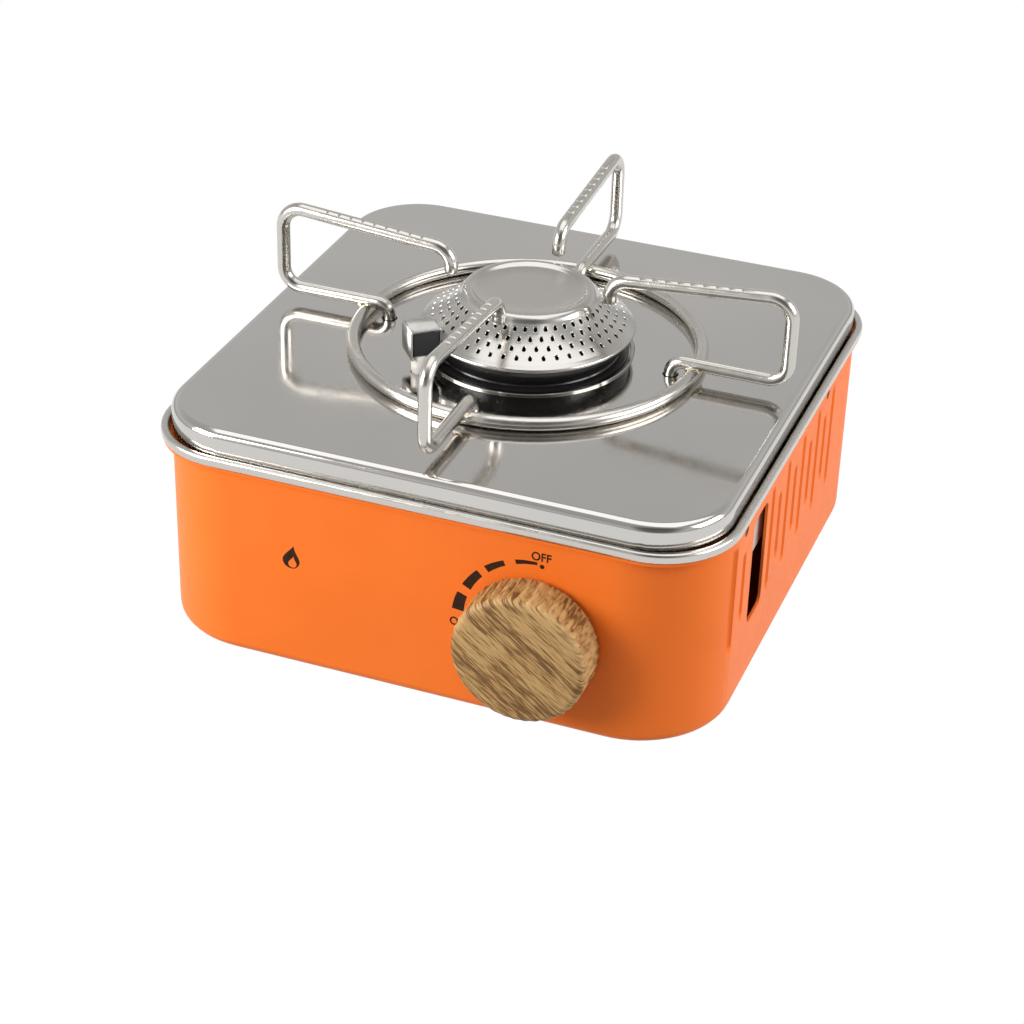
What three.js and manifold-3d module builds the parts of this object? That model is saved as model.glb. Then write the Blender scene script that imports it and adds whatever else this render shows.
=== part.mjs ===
import * as THREE from 'three';
import { mergeVertices } from 'three/addons/utils/BufferGeometryUtils.js';
import Module from 'manifold-3d';

// Square camping stove. Millimetres, X along the front, Y to the back, Z up.
// The model is laid out about the middle of the case, and moved as a whole at the end.
const wasm = await Module();
wasm.setup();

// Case: a deep-drawn tray with upright walls, turned out at the top to carry the rim.
const rimWidth = 190;
const rimDepth = 192;
const rimCorner = 26.5;
const beadWidth = 2.6;
const beadHeight = 3.4;
const caseHeight = 67.2;
const caseSheet = 0.9;
const caseFillet = 4;
const wallInset = 1.5;
const wallCorner = 31;
const flangeInset = 0.6;
const footProud = 2;

// Lid: the flat stainless plate with its skirt inside the case wall.
const lidInset = 3;
const lidSheet = 0.8;
const lidEdge = 3;
const lidCorner = 25;
const lidRise = 11.1;
const skirtDrop = 7.2;

// Feet, and the screws through the side walls into the skirt.
const footRadius = 7;
const footStem = 2.7;
const footAcross = 126;
const footAlong = 128;
const sideScrewHead = 1.7;
const sideScrewShank = 1;
const sideScrewFront = -59;
const sideScrewBack = 35.4;
const sideScrewDrop = 4.2;

// Side window, and the flutes pressed into the walls.
const windowMiddle = -42.3;
const windowWidth = 15.5;
const windowDrop = 6.3;
const windowBase = 23.4;
const windowCorner = 3;
const flutePitch = 9.05;
const fluteWidth = 3.4;
const fluteDepth = 0.4;
const fluteLong = 37;
const fluteShort = 24;
const fluteBack = 43.9;
const fluteFront = -59;
const flutesBack = 9;
const flutesFront = 2;
const fluteDrop = 5.7;

// Knob and spindle, whose axis runs from front to back.
const knobX = 39.1;
const knobHeight = 32.2;
const knobRadius = 21.6;
const knobLength = 14.5;
const knobGap = 1;
const knobRidges = 40;
const knobRidgeDepth = 0.7;
const knobSocketDepth = 11;
const spindleRadius = 3;
const spindleClear = 3;

// Valve, its bracket and the snail cam that works the igniter.
const valveWidth = 24;
const valveTall = 26;
const valveLength = 36;
const valveFront = 20;
const bracketSheet = 1.2;
const bracketFoot = 26;
const camThickness = 4;
const camFront = 9;
const camLow = 8;
const camRise = 4;
const camSweep = 90;
const camGap = 0.5;

// Press igniter.
const piezoSize = 11;
const piezoLength = 30;
const plungerRadius = 2.2;
const plungerReach = 6;

// Gas way: inlet socket, pipe, jet, mixing tube.
const inletFace = 15.3;
const inletRadius = 7.5;
const inletLength = 14;
const inletHeight = 34;
const socketBore = 4.4;
const socketDepth = 6;
const sealBore = 1.6;
const pipeRadius = 3;
const catchShown = 16.9;
const jetLength = 12;
const mixerRadius = 7.6;
const mixerWall = 1;
const mixerGap = 3;

// Burner: bowl, seat ring and perforated cap.
const neckWall = 1;
const neckRise = 25.8;
const bowlFoot = 33.4;
const bowlWaist = 30.4;
const bowlSheet = 1;
const seatWidth = 1.4;
const capRadius = 35;
const capLip = 2;
const capTopRadius = 20.8;
const capBase = 8.6;
const capTop = 21.2;
const capSheet = 1.2;

// Pot support: a ring with four bent wire legs welded on top of it.
const wireRadius = 2.2;
const ringRadius = 57;
const legReach = 87.6;
const legHeight = 34.7;
const legSlope = 0.08;
const legBend = 7.5;
const hookBend = 4.5;
const weldSink = 1.6;
const tipRadius = 27.3;
const tipHeight = 21;
const hookRadius = 49.2;
const hookDepth = 6;
const hookClear = 0.7;

// Igniter on the lid: hood, insulator and electrode.
const hoodLength = 10.6;
const hoodWidth = 9.6;
const hoodHeight = 10.5;
const hoodBase = 5.2;
const hoodSheet = 0.8;
const hoodTurn = 40;
const hoodBearing = 227.8;
const hoodClear = 3.1;
const ceramicRadius = 2.4;
const ceramicBore = 0.9;
const ceramicOut = 1.7;
const ceramicAside = 2.2;
const electrodeRadius = 0.6;

// Fits.
const gap = 0.3;
const rest = 0.06;

// Levels, from the ground up.
const floorLow = footProud;
const floorHigh = floorLow + caseSheet;
const wallTop = floorLow + caseHeight;
const plateTop = wallTop + lidRise;
const plateLow = plateTop - lidSheet;
const skirtLow = wallTop - skirtDrop;
const ringLevel = plateTop + wireRadius;
const barLevel = ringLevel + 2 * wireRadius - weldSink;
const knobAxis = floorLow + knobHeight;
const windowHeight = caseHeight - windowDrop - windowBase;
const fluteMiddle = caseHeight - fluteDrop - fluteLong / 2;
const neckTop = knobAxis + neckRise;
const hoodRadius = capRadius + hoodClear;
const bowlRadius = capRadius - capLip;
const hookHole = wireRadius + hookClear;

const wallWidth = rimWidth - 2 * wallInset;
const wallDepth = rimDepth - 2 * wallInset;
const frontWall = -wallDepth / 2;
const sideWall = wallWidth / 2;

const paint = (colour, roughness, metalness) =>
  new THREE.MeshStandardMaterial({ color: colour, roughness, metalness });
const orangePaint = () => paint(0xe8682a, 0.45, 0.1);
const stainless = () => paint(0xb4b0aa, 0.25, 0.9);
const polishedWire = () => paint(0xd6d2ca, 0.15, 1);
const zincSteel = () => paint(0xa8adb0, 0.4, 0.8);
const brass = () => paint(0xc09a4a, 0.3, 0.9);
const blackEnamel = () => paint(0x1c1a19, 0.2, 0.2);
const blackPlastic = () => paint(0x202022, 0.6, 0);
const rubber = () => paint(0x1a1a1a, 0.9, 0);
const woodLook = () => paint(0xb08a55, 0.6, 0);
const ceramic = () => paint(0xf0ece4, 0.4, 0);

const stove = new THREE.Group();
const body = new THREE.Group();
stove.add(body);

function add(parent, name, geometry, material) {
  const mesh = new THREE.Mesh(geometry, material);
  mesh.name = name;
  parent.add(mesh);
  return mesh;
}

// Solids from geometries, and back again.
function solid(geometry) {
  const bare = geometry.clone();
  bare.deleteAttribute('normal');
  bare.deleteAttribute('uv');
  const merged = mergeVertices(bare, 1e-4);
  const index = merged.index.array;
  const triVerts = [];
  for (let i = 0; i < index.length; i += 3) {
    const [a, b, c] = [index[i], index[i + 1], index[i + 2]];
    if (a !== b && b !== c && c !== a) triVerts.push(a, b, c);
  }
  const vertProperties = new Float32Array(merged.attributes.position.array);
  const mesh = new wasm.Mesh({ numProp: 3, vertProperties, triVerts: new Uint32Array(triVerts) });
  return new wasm.Manifold(mesh);
}

function surface(manifold) {
  const mesh = manifold.getMesh();
  const geometry = new THREE.BufferGeometry();
  geometry.setAttribute('position', new THREE.BufferAttribute(mesh.vertProperties, 3));
  geometry.setIndex(new THREE.BufferAttribute(mesh.triVerts, 1));
  geometry.computeVertexNormals();
  return geometry;
}

function cut(geometry, ...cutters) {
  return surface(cutters.reduce((left, cutter) => left.subtract(solid(cutter)), solid(geometry)));
}

function join(geometry, ...others) {
  return surface(others.reduce((left, other) => left.add(solid(other)), solid(geometry)));
}

// Outlines and simple shapes.
function roundedRect(width, depth, radius) {
  const [x, y, r] = [width / 2, depth / 2, radius];
  const shape = new THREE.Shape();
  shape.moveTo(x - r, -y);
  shape.absarc(x - r, r - y, r, -Math.PI / 2, 0);
  shape.absarc(x - r, y - r, r, 0, Math.PI / 2);
  shape.absarc(r - x, y - r, r, Math.PI / 2, Math.PI);
  shape.absarc(r - x, r - y, r, Math.PI, 1.5 * Math.PI);
  shape.closePath();
  return shape;
}

function polygon(radius, sides) {
  const points = Array.from({ length: sides }, (_, i) => {
    const angle = (i + 0.5) * 2 * Math.PI / sides;
    return new THREE.Vector2(radius * Math.cos(angle), radius * Math.sin(angle));
  });
  return new THREE.Shape(points);
}

function box(low, high) {
  const size = high.map((value, i) => value - low[i]);
  return new THREE.BoxGeometry(...size).translate(...low.map((value, i) => value + size[i] / 2));
}

// A slab of an outline between two heights; edge rounds both ends by that much.
function slab(shape, low, high, edge = 0, curveSegments = 3, bevelSegments = 2) {
  const depth = high - low - 2 * edge;
  const options = { depth, curveSegments, bevelEnabled: edge > 0, bevelThickness: edge };
  Object.assign(options, { bevelSize: edge, bevelOffset: -edge, bevelSegments });
  return new THREE.ExtrudeGeometry(shape, options).translate(0, 0, low + edge);
}

// A turned piece: pairs of radius and height, up the outside and down the inside.
function turned(profile, sides = 32) {
  const points = profile.map(([r, z]) => new THREE.Vector2(r, z));
  return new THREE.LatheGeometry(points, sides).rotateX(Math.PI / 2);
}

function rod(radius, low, high, sides = 16) {
  return turned([[0, low], [radius, low], [radius, high], [0, high]], sides);
}

// A wire or tube bent through the given points, with each corner rounded by its own bend.
function bentPath(points, bends) {
  const path = new THREE.CurvePath();
  let start = points[0];
  for (let i = 1; i < points.length - 1; i += 1) {
    const bend = bends[i - 1];
    const before = points[i].clone().sub(points[i - 1]).setLength(bend);
    const after = points[i + 1].clone().sub(points[i]).setLength(bend);
    const enter = points[i].clone().sub(before);
    const leave = points[i].clone().add(after);
    path.add(new THREE.LineCurve3(start, enter));
    path.add(new THREE.QuadraticBezierCurve3(enter, points[i], leave));
    start = leave;
  }
  path.add(new THREE.LineCurve3(start, points[points.length - 1]));
  return path;
}

function sweep(shape, path, steps) {
  return new THREE.ExtrudeGeometry(shape, { extrudePath: path, steps, curveSegments: 4 });
}

// Turns a shape's own Z axis to face the front of the stove.
const toFront = (geometry) => geometry.rotateX(Math.PI / 2);
const toRight = (geometry) => geometry.rotateY(Math.PI / 2);

// Case: straight walls with a rounded foot, and a flange turned out under the rim.
const wallShape = roundedRect(wallWidth, wallDepth, wallCorner);
const hollowShape = roundedRect(wallWidth - 2 * caseSheet, wallDepth - 2 * caseSheet, wallCorner - caseSheet);
const outerBlock = slab(wallShape, floorLow, wallTop + 2 * caseFillet, caseFillet);
const hollowBlock = slab(hollowShape, floorHigh, wallTop + 3 * caseFillet, caseFillet - caseSheet);
const flangeShape = roundedRect(
  rimWidth - 2 * flangeInset, rimDepth - 2 * flangeInset, rimCorner - flangeInset);
const flangeBlock = slab(flangeShape, wallTop - caseSheet, wallTop);
const trimTop = box([-rimWidth, -rimDepth, wallTop], [rimWidth, rimDepth, wallTop + 4 * caseFillet]);

// A cutter whose outline stands upright on a side wall, set in by a depth.
function wallCutter(side, y, middle, width, height, corner, depth) {
  const proud = 2;
  const cutter = slab(roundedRect(height, width, corner), -depth, proud, 0, 1);
  cutter.rotateY(Math.PI / 2);
  cutter.translate(sideWall, y, floorLow + middle);
  return side > 0 ? cutter : cutter.rotateZ(Math.PI).translate(0, 2 * y, 0);
}

// A row of flutes running forward from y, long and short in turn.
function flutes(side, y, count, longFirst) {
  return Array.from({ length: count }, (_, i) => {
    const length = (i % 2 === 0) === longFirst ? fluteLong : fluteShort;
    return wallCutter(side, y - i * flutePitch, fluteMiddle, fluteWidth, length, fluteWidth / 2, fluteDepth);
  });
}

const footSides = [[1, -1], [1, 1], [-1, 1], [-1, -1]];
const footSpots = footSides.map(([x, y]) => [x * footAcross / 2, y * footAlong / 2]);
const windowRise = windowBase + windowHeight / 2;
const windowCutter = wallCutter(1, windowMiddle, windowRise, windowWidth, windowHeight, windowCorner, 3);
const cutReach = 6;
const shaftHole = rod(spindleRadius + spindleClear, -cutReach, cutReach);
const shaftCutter = toFront(shaftHole).translate(knobX, frontWall, knobAxis);
const footCutters = footSpots.map(([x, y]) => rod(footStem + gap, 0, cutReach, 12).translate(x, y, 0));
const sideScrewLevel = wallTop - sideScrewDrop;
const sideScrewSpots = [1, -1].flatMap((side) => [[side, sideScrewFront], [side, sideScrewBack]]);
const sideHoles = (radius) => sideScrewSpots.map(([side, y]) =>
  toRight(rod(radius, -cutReach, cutReach, 12)).translate(side * sideWall, y, sideScrewLevel));

const bracketY = frontWall + valveFront;
const bracketScrewX = 13;
const bracketScrewY = bracketY + bracketFoot - 6;
const bracketScrewHole = 2.2;
const bracketHoles = [-1, 1].map((side) =>
  rod(bracketScrewHole, 0, cutReach, 12).translate(knobX + side * bracketScrewX, bracketScrewY, 0));

// Air slots in the floor, under the mouth of the mixing tube.
const slotLength = 34;
const slotWidth = 4;
const slotPitch = 2.5 * slotWidth;
const slotShape = roundedRect(slotLength, slotWidth, slotWidth / 2);
const airSlots = [-2, -1, 0, 1, 2].map((i) =>
  slab(slotShape, 0, cutReach, 0, 2).translate(-knobX, i * slotPitch, 0));

add(body, 'case_shell', cut(
  join(outerBlock, flangeBlock), hollowBlock, trimTop, windowCutter, shaftCutter, ...footCutters,
  ...airSlots, ...sideHoles(sideScrewHead + gap / 2), ...bracketHoles,
  ...flutes(1, fluteBack, flutesBack, true), ...flutes(1, fluteFront, flutesFront, false),
  ...flutes(-1, fluteBack, flutesBack + flutesFront, true)), orangePaint());

// Rolled rim: a steel bead closing the top edge of the case.
const beadEdge = beadWidth / 2 - 0.3;
const beadHole = roundedRect(rimWidth - 2 * beadWidth, rimDepth - 2 * beadWidth, rimCorner - beadWidth);
const beadShape = roundedRect(rimWidth, rimDepth, rimCorner);
beadShape.holes.push(beadHole);
const beadLow = wallTop + rest;
add(body, 'rim_bead', slab(beadShape, beadLow, beadLow + beadHeight, beadEdge, 3, 2), stainless());

// Lid: a raised plate stepping in at its corners to a skirt that fits inside the case.
const lidWidth = rimWidth - 2 * lidInset;
const lidDepth = rimDepth - 2 * lidInset;
const skirtCorner = wallCorner + wallInset - lidInset;
const lidStep = wallTop + rest;

// The raised part at a depth inside its surface, trimmed off below a level.
function lidRaised(depth, low) {
  const outline = roundedRect(lidWidth - 2 * depth, lidDepth - 2 * depth, lidCorner - depth);
  const trim = box([-rimWidth, -rimDepth, skirtLow - 1], [rimWidth, rimDepth, low]);
  return cut(slab(outline, skirtLow, plateTop - depth, lidEdge - depth), trim);
}

function lidSkirt(depth, low, high) {
  return slab(roundedRect(lidWidth - 2 * depth, lidDepth - 2 * depth, skirtCorner - depth), low, high);
}

// A hole down through the plate.
const plateHole = (radius, x, y, sides) => rod(radius, plateLow - 2, plateTop + 2, sides).translate(x, y, 0);
const hookSpots = [0, 1, 2, 3].map((i) => i * Math.PI / 2);
const hookHoles = hookSpots.map((angle) =>
  plateHole(hookHole, hookRadius * Math.cos(angle), hookRadius * Math.sin(angle), 12));
const hoodAngle = THREE.MathUtils.degToRad(hoodBearing);
const hoodSpot = new THREE.Vector2(hoodRadius, 0).rotateAround(new THREE.Vector2(), hoodAngle);
const ceramicSpot = new THREE.Vector2(-ceramicOut, -ceramicAside)
  .rotateAround(new THREE.Vector2(), THREE.MathUtils.degToRad(hoodTurn))
  .add(hoodSpot);
const bowlHole = bowlWaist - 1.2;
add(body, 'top_plate', cut(
  join(lidRaised(0, lidStep), lidSkirt(0, skirtLow, lidStep + lidSheet)),
  lidRaised(lidSheet, lidStep + lidSheet), lidSkirt(lidSheet, skirtLow - 1, lidStep + 2 * lidSheet),
  plateHole(bowlHole, 0, 0, 32), plateHole(ceramicRadius + gap, ceramicSpot.x, ceramicSpot.y, 12),
  ...hookHoles, ...sideHoles(sideScrewShank + gap)), stainless());

// Screws through the side walls into the skirt, with countersunk heads.
const sideScrewLength = 5;
const sideScrew = turned([
  [0, 0], [sideScrewHead, 0], [sideScrewShank, sideScrewHead - sideScrewShank + 0.1],
  [sideScrewShank, sideScrewLength], [0, sideScrewLength]], 12);
const headSink = 0.25;
sideScrewSpots.forEach(([side, y], i) => {
  const screw = add(body, `side_screw_${i + 1}`, sideScrew, blackPlastic());
  screw.rotation.y = -side * Math.PI / 2;
  screw.position.set(side * (sideWall - headSink), y, sideScrewLevel);
});

// Rubber feet, pushed through the floor.
const footHead = footStem + 1;
const footLedge = footProud - rest;
const footBarb = floorHigh + rest;
const footEnd = floorHigh + 2;
const footTurned = turned([
  [0, 0], [footRadius - 1, 0], [footRadius, 1], [footRadius, footLedge], [footStem, footLedge],
  [footStem, footBarb], [footHead, footBarb], [footStem, footEnd], [0, footEnd]], 14);
footSpots.forEach(([x, y], i) => {
  add(body, `foot_${i + 1}`, footTurned, rubber()).position.set(x, y, 0);
});

// Control group, on the knob's axis: its own Z runs out of the front of the stove.
const control = new THREE.Group();
control.position.set(knobX, frontWall, knobAxis);
control.rotation.x = Math.PI / 2;
body.add(control);

const ridgeOutline = new THREE.Shape(Array.from({ length: 2 * knobRidges }, (_, i) => {
  const angle = i * Math.PI / knobRidges;
  const radius = knobRadius - (i % 2 ? knobRidgeDepth : 0);
  return new THREE.Vector2(radius * Math.cos(angle), radius * Math.sin(angle));
}));
const knobBody = slab(ridgeOutline, knobGap, knobGap + knobLength, 0.8, 1, 1);
const knobSocket = rod(spindleRadius + gap, 0, knobGap + knobSocketDepth);
add(control, 'control_knob', cut(knobBody, knobSocket), woodLook());

const spindleEnd = -(valveFront + 8);
const spindleTip = knobGap + knobSocketDepth - gap;
add(control, 'knob_spindle', rod(spindleRadius, spindleEnd, spindleTip), zincSteel());

// Snail cam: its radius grows evenly with the angle, so it pushes the plunger at a steady rate.
const camTurn = THREE.MathUtils.degToRad(camSweep);
const camLobe = THREE.MathUtils.degToRad(camSweep + 40);
const camPoints = [];
for (let i = 0; i <= 20; i += 1) {
  const along = i / 20;
  const radius = camLow + camRise * along * camLobe / camTurn;
  const angle = Math.PI + THREE.MathUtils.degToRad(15) - camLobe * along;
  camPoints.push(new THREE.Vector2(radius * Math.cos(angle), radius * Math.sin(angle)));
}
const backStart = camPoints[20].angle();
for (let i = 1; i < 12; i += 1) {
  const angle = backStart - (i / 12) * (2 * Math.PI - camLobe);
  camPoints.push(new THREE.Vector2(camLow * Math.cos(angle), camLow * Math.sin(angle)));
}
const camBlank = slab(new THREE.Shape(camPoints), -camFront - camThickness, -camFront);
add(control, 'striker_cam', cut(camBlank, rod(spindleRadius + gap, -camFront - 10, 0)), zincSteel());

// Valve body with its spindle bore, inlet port and outlet port.
const valveBack = valveFront + bracketSheet + rest;
const valveEnd = valveBack + valveLength;
const valveBlock = box(
  [-valveWidth / 2, -valveTall / 2, -valveEnd], [valveWidth / 2, valveTall / 2, -valveBack]);
const valvePort = rod(spindleRadius + gap, spindleEnd - 1, 0);
const inletAlong = -windowMiddle + frontWall;
const inletDrop = floorLow + inletHeight - knobAxis;
const portDepth = 6;
const pipePort = toRight(rod(pipeRadius + gap, valveWidth / 2 - portDepth, valveWidth / 2 + portDepth));
pipePort.translate(0, inletDrop, inletAlong);
const jetPort = rod(pipeRadius + gap, -valveEnd - 1, -valveEnd + portDepth);
const valveScrewEdge = 3.5;
const valveScrewShank = 1.5;
const valveScrewX = valveWidth / 2 - valveScrewEdge;
const valveScrewY = valveTall / 2 - valveScrewEdge;
const valveScrewHoles = [-1, 1].map((side) =>
  rod(valveScrewShank + gap, -valveBack - 8, 0, 12).translate(side * valveScrewX, side * valveScrewY, 0));
add(control, 'valve_body', cut(valveBlock, valvePort, pipePort, jetPort, ...valveScrewHoles), zincSteel());

// Bracket: an upright plate that carries the valve, with a foot screwed to the floor.
const bracketWidth = valveWidth + 12;
const bracketTop = valveTall / 2 + 6;
const bracketLow = floorHigh + rest - knobAxis;
const bracketHalf = bracketWidth / 2;
const bracketPlate = box(
  [-bracketHalf, bracketLow, -valveFront - bracketSheet], [bracketHalf, bracketTop, -valveFront]);
const soleBack = -valveFront - bracketFoot;
const bracketSole = box(
  [-bracketHalf, bracketLow, soleBack], [bracketHalf, bracketLow + bracketSheet, -valveFront]);
const soleHoles = [-1, 1].map((side) => rod(bracketScrewHole, -5, 5, 12).rotateX(-Math.PI / 2)
  .translate(side * bracketScrewX, bracketLow, -(bracketScrewY - frontWall)));
const plateHoles = valveScrewHoles.map((hole) => hole.clone());
add(control, 'valve_bracket', cut(
  join(bracketPlate, bracketSole), rod(spindleRadius + 1, -40, 0), ...soleHoles, ...plateHoles), zincSteel());
const valveScrewHead = 2.8;
const valveScrewLength = 7;
const valveScrew = turned([
  [0, -valveScrewLength], [valveScrewShank, -valveScrewLength], [valveScrewShank, 0], [valveScrewHead, 0],
  [valveScrewHead, 1.8], [0, 1.8]], 12);
[-1, 1].forEach((side, i) => {
  const screw = add(control, `valve_screw_${i + 1}`, valveScrew, zincSteel());
  screw.position.set(side * valveScrewX, side * valveScrewY, -valveFront + rest);
});

// Screws from below the floor, and their nuts on the bracket's foot.
const soleTop = floorHigh + rest + bracketSheet;
const nutHigh = 2.6;
const nutAcross = 3.9;
const shankRadius = 1.8;
const headRadius = 3.6;
const headHigh = floorLow - rest;
const headLow = headHigh - 1.4;
const shankEnd = soleTop + nutHigh + 1.5;
const bracketScrew = turned([
  [0, headLow], [headRadius, headLow], [headRadius, headHigh], [shankRadius, headHigh],
  [shankRadius, shankEnd], [0, shankEnd]], 12);
const nutBlank = slab(polygon(nutAcross, 6), soleTop + rest, soleTop + nutHigh);
const nut = cut(nutBlank, rod(shankRadius + gap, 0, shankEnd + 1, 12));
[-1, 1].forEach((side, i) => {
  const [x, y] = [knobX + side * bracketScrewX, bracketScrewY];
  add(body, `bracket_screw_${i + 1}`, bracketScrew, zincSteel()).position.set(x, y, 0);
  add(body, `bracket_nut_${i + 1}`, nut, zincSteel()).position.set(x, y, 0);
});

// Press igniter: plunger against the cam, body to its left, held by a clip on the bracket.
const camMiddle = -camFront - camThickness / 2;
const camAtPlunger = camLow + camRise * THREE.MathUtils.degToRad(15) / camTurn;
const plungerTip = -(camAtPlunger + camGap);
const piezoRight = plungerTip - plungerReach;
const piezoHalf = piezoSize / 2;
const piezoLeft = piezoRight - piezoLength;
const piezoBox = box(
  [piezoLeft, -piezoHalf, camMiddle - piezoHalf], [piezoRight, piezoHalf, camMiddle + piezoHalf]);
const plungerTravel = camRise + 2;
const plungerHeld = 5;
const boreEnd = piezoRight - plungerTravel - plungerHeld - 1;
const plungerStart = piezoRight - plungerHeld;
const plungerBore = toRight(rod(plungerRadius + gap, boreEnd, piezoRight + 2)).translate(0, 0, camMiddle);
const plunger = toRight(rod(plungerRadius, plungerStart, plungerTip, 12)).translate(0, 0, camMiddle);
add(control, 'piezo_igniter', cut(piezoBox, plungerBore), blackPlastic());
add(control, 'piezo_plunger', plunger, zincSteel());
const clipHalf = piezoSize / 2 + gap;
const clipLeft = piezoRight - piezoLength * 0.7;
const clipRight = clipLeft + 14;
const clipOut = clipHalf + 1;
const clipBack = -valveFront + rest;
const clipOuter = box([clipLeft, -clipOut, clipBack], [clipRight, clipOut, camMiddle + clipOut]);
const clipInner = box(
  [clipLeft - 1, -clipHalf, camMiddle - clipHalf], [clipRight + 1, clipHalf, camMiddle + clipHalf]);
const clipTail = box([clipRight - 1, -clipOut, clipBack], [5 - bracketHalf, clipOut, clipBack + 1]);
add(control, 'piezo_clip', cut(join(clipOuter, clipTail), clipInner), zincSteel());

// Inlet behind the side window: a hooked catch plate, the socket with its seal, and the pipe.
const catchOuter = lidWidth / 2 - lidSheet - gap;
const catchLow = floorLow + caseHeight - windowDrop - catchShown;
const catchHigh = plateLow - lidEdge;
const catchFrontY = windowMiddle - windowWidth / 2 - 8;
const catchBackY = windowMiddle + windowWidth / 2 + 12;
const catchPlate = box([catchOuter - 1, catchFrontY, catchLow], [catchOuter, catchBackY, catchHigh]);
const notchY = windowMiddle + 1;
const notchHigh = catchLow + 9;
const notchRadius = 2.6;
const notchLow = box([catchOuter - 3, notchY - 3, catchLow - 1], [catchOuter + 3, notchY, notchHigh]);
const notchHook = toRight(rod(notchRadius, -3, 3, 16)).translate(catchOuter, notchY, notchHigh + 0.5);
const catchFlange = box([catchOuter - 9, catchFrontY, catchHigh - 1], [catchOuter, catchBackY, catchHigh]);
add(body, 'inlet_catch_plate', cut(join(catchPlate, catchFlange), notchLow, notchHook), stainless());

const socketRight = sideWall - inletFace;
const inletZ = floorLow + inletHeight;
const socketBack = inletRadius - 1.5;
const socketShape = turned([
  [socketBore, 0], [inletRadius, 0], [inletRadius, -4], [socketBack, -4], [socketBack, -inletLength],
  [pipeRadius + gap, -inletLength], [pipeRadius + gap, -socketDepth], [socketBore, -socketDepth],
  [socketBore, 0]].reverse(), 20);
add(body, 'inlet_socket', toRight(socketShape).translate(socketRight, windowMiddle, inletZ), brass());
const sealLow = gap - socketDepth;
const sealOuter = socketBore - gap;
const sealShape = turned([
  [sealBore, sealLow], [sealOuter, sealLow], [sealOuter, sealLow + 1.4], [sealBore, sealLow + 1.4],
  [sealBore, sealLow]], 16);
add(body, 'inlet_seal', toRight(sealShape).translate(socketRight, windowMiddle, inletZ), rubber());
const pipeLeft = knobX + valveWidth / 2 - 5;
const pipeRight = socketRight - socketDepth - gap;
const pipeRing = new THREE.Shape().absarc(0, 0, pipeRadius, 0, 2 * Math.PI);
pipeRing.holes.push(new THREE.Path().absarc(0, 0, pipeRadius - 1, 0, 2 * Math.PI));
const inletPipe = slab(pipeRing, pipeLeft, pipeRight, 0, 6);
add(body, 'inlet_pipe', toRight(inletPipe).translate(0, windowMiddle, inletZ), brass());
const socketPostTop = inletZ + inletRadius + 3;
const postX = socketRight - 7;
const [postFront, postBack] = [windowMiddle - 11, windowMiddle + 11];
const postFoot = 14;
const postLow = floorHigh + rest;
const socketPost = join(
  box([postX - bracketSheet, postFront, postLow], [postX, postBack, socketPostTop]),
  box([postX - postFoot, postFront, postLow], [postX, postBack, postLow + bracketSheet]));
const postHole = toRight(rod(socketBack + gap, -20, 20, 24)).translate(postX, windowMiddle, inletZ);
add(body, 'inlet_bracket', cut(socketPost, postHole), zincSteel());

// Jet at the back of the valve, and the mixing tube that rises to the burner.
const jetBack = frontWall + valveBack + valveLength;
const jetTip = jetBack + jetLength;
const jetBore = 0.6;
const jetCollar = 5;
const jetStart = jetBack - 5;
const jet = turned([
  [jetBore, jetStart], [pipeRadius, jetStart], [pipeRadius, jetBack + rest], [jetCollar, jetBack + rest],
  [jetCollar, jetBack + 5], [3, jetBack + 6], [2, jetTip], [jetBore, jetTip], [jetBore, jetStart]], 16);
add(body, 'jet_nozzle', jet.rotateX(-Math.PI / 2).translate(knobX, 0, knobAxis), brass());
const neckInner = mixerRadius + gap;
const neckLow = neckTop - 8;
const mixerStart = new THREE.Vector3(knobX, jetTip + mixerGap, knobAxis);
const mixerPath = new THREE.CatmullRomCurve3([
  mixerStart,
  new THREE.Vector3(knobX - 1, jetTip + mixerGap + 12, knobAxis),
  new THREE.Vector3(knobX * 0.45, 12, knobAxis + 1),
  new THREE.Vector3(2, 4, knobAxis + 9),
  new THREE.Vector3(0, 0, neckLow - 1),
  new THREE.Vector3(0, 0, neckTop - 1),
]);
const mixerRing = new THREE.Shape().absarc(0, 0, mixerRadius, 0, 2 * Math.PI);
mixerRing.holes.push(new THREE.Path().absarc(0, 0, mixerRadius - mixerWall, 0, 2 * Math.PI));
const mixer = new THREE.ExtrudeGeometry(mixerRing, { extrudePath: mixerPath, steps: 14, curveSegments: 5 });
add(body, 'mixing_tube', mixer, zincSteel());

// Burner bowl: funnel neck over the tube, flange on the lid, flared wall up to the cap.
const bowlTop = plateTop + capBase - 1.4;
const bowlSeat = plateTop + rest;
const throat = bowlHole - gap;
const funnel = 16;
const funnelHigh = neckTop + 0.41 * (plateLow - neckTop);
const bowl = turned([
  [neckInner, neckLow], [neckInner + neckWall, neckLow], [neckInner + neckWall, neckTop + 2],
  [funnel, funnelHigh], [throat, plateLow - 2], [throat, bowlSeat], [bowlFoot, bowlSeat],
  [bowlFoot, bowlSeat + bowlSheet], [bowlWaist, bowlSeat + bowlSheet], [bowlRadius, bowlTop],
  [bowlRadius - bowlSheet, bowlTop], [throat - bowlSheet, plateTop + 1], [throat - bowlSheet, plateLow - 1],
  [funnel - bowlSheet, funnelHigh + 1.5], [neckInner, neckTop + 3], [neckInner, neckLow]], 32);
add(body, 'burner_bowl', bowl, blackEnamel());
const seatInner = bowlFoot + gap;
const seatOuter = seatInner + seatWidth;
const seatHigh = plateTop + 0.7;
const seatRing = turned([
  [seatInner, bowlSeat], [seatOuter, bowlSeat], [seatOuter, seatHigh], [seatInner, seatHigh],
  [seatInner, bowlSeat]], 32);
add(body, 'burner_seat_ring', seatRing, stainless());
const rimLevel = plateTop + capBase;
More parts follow.
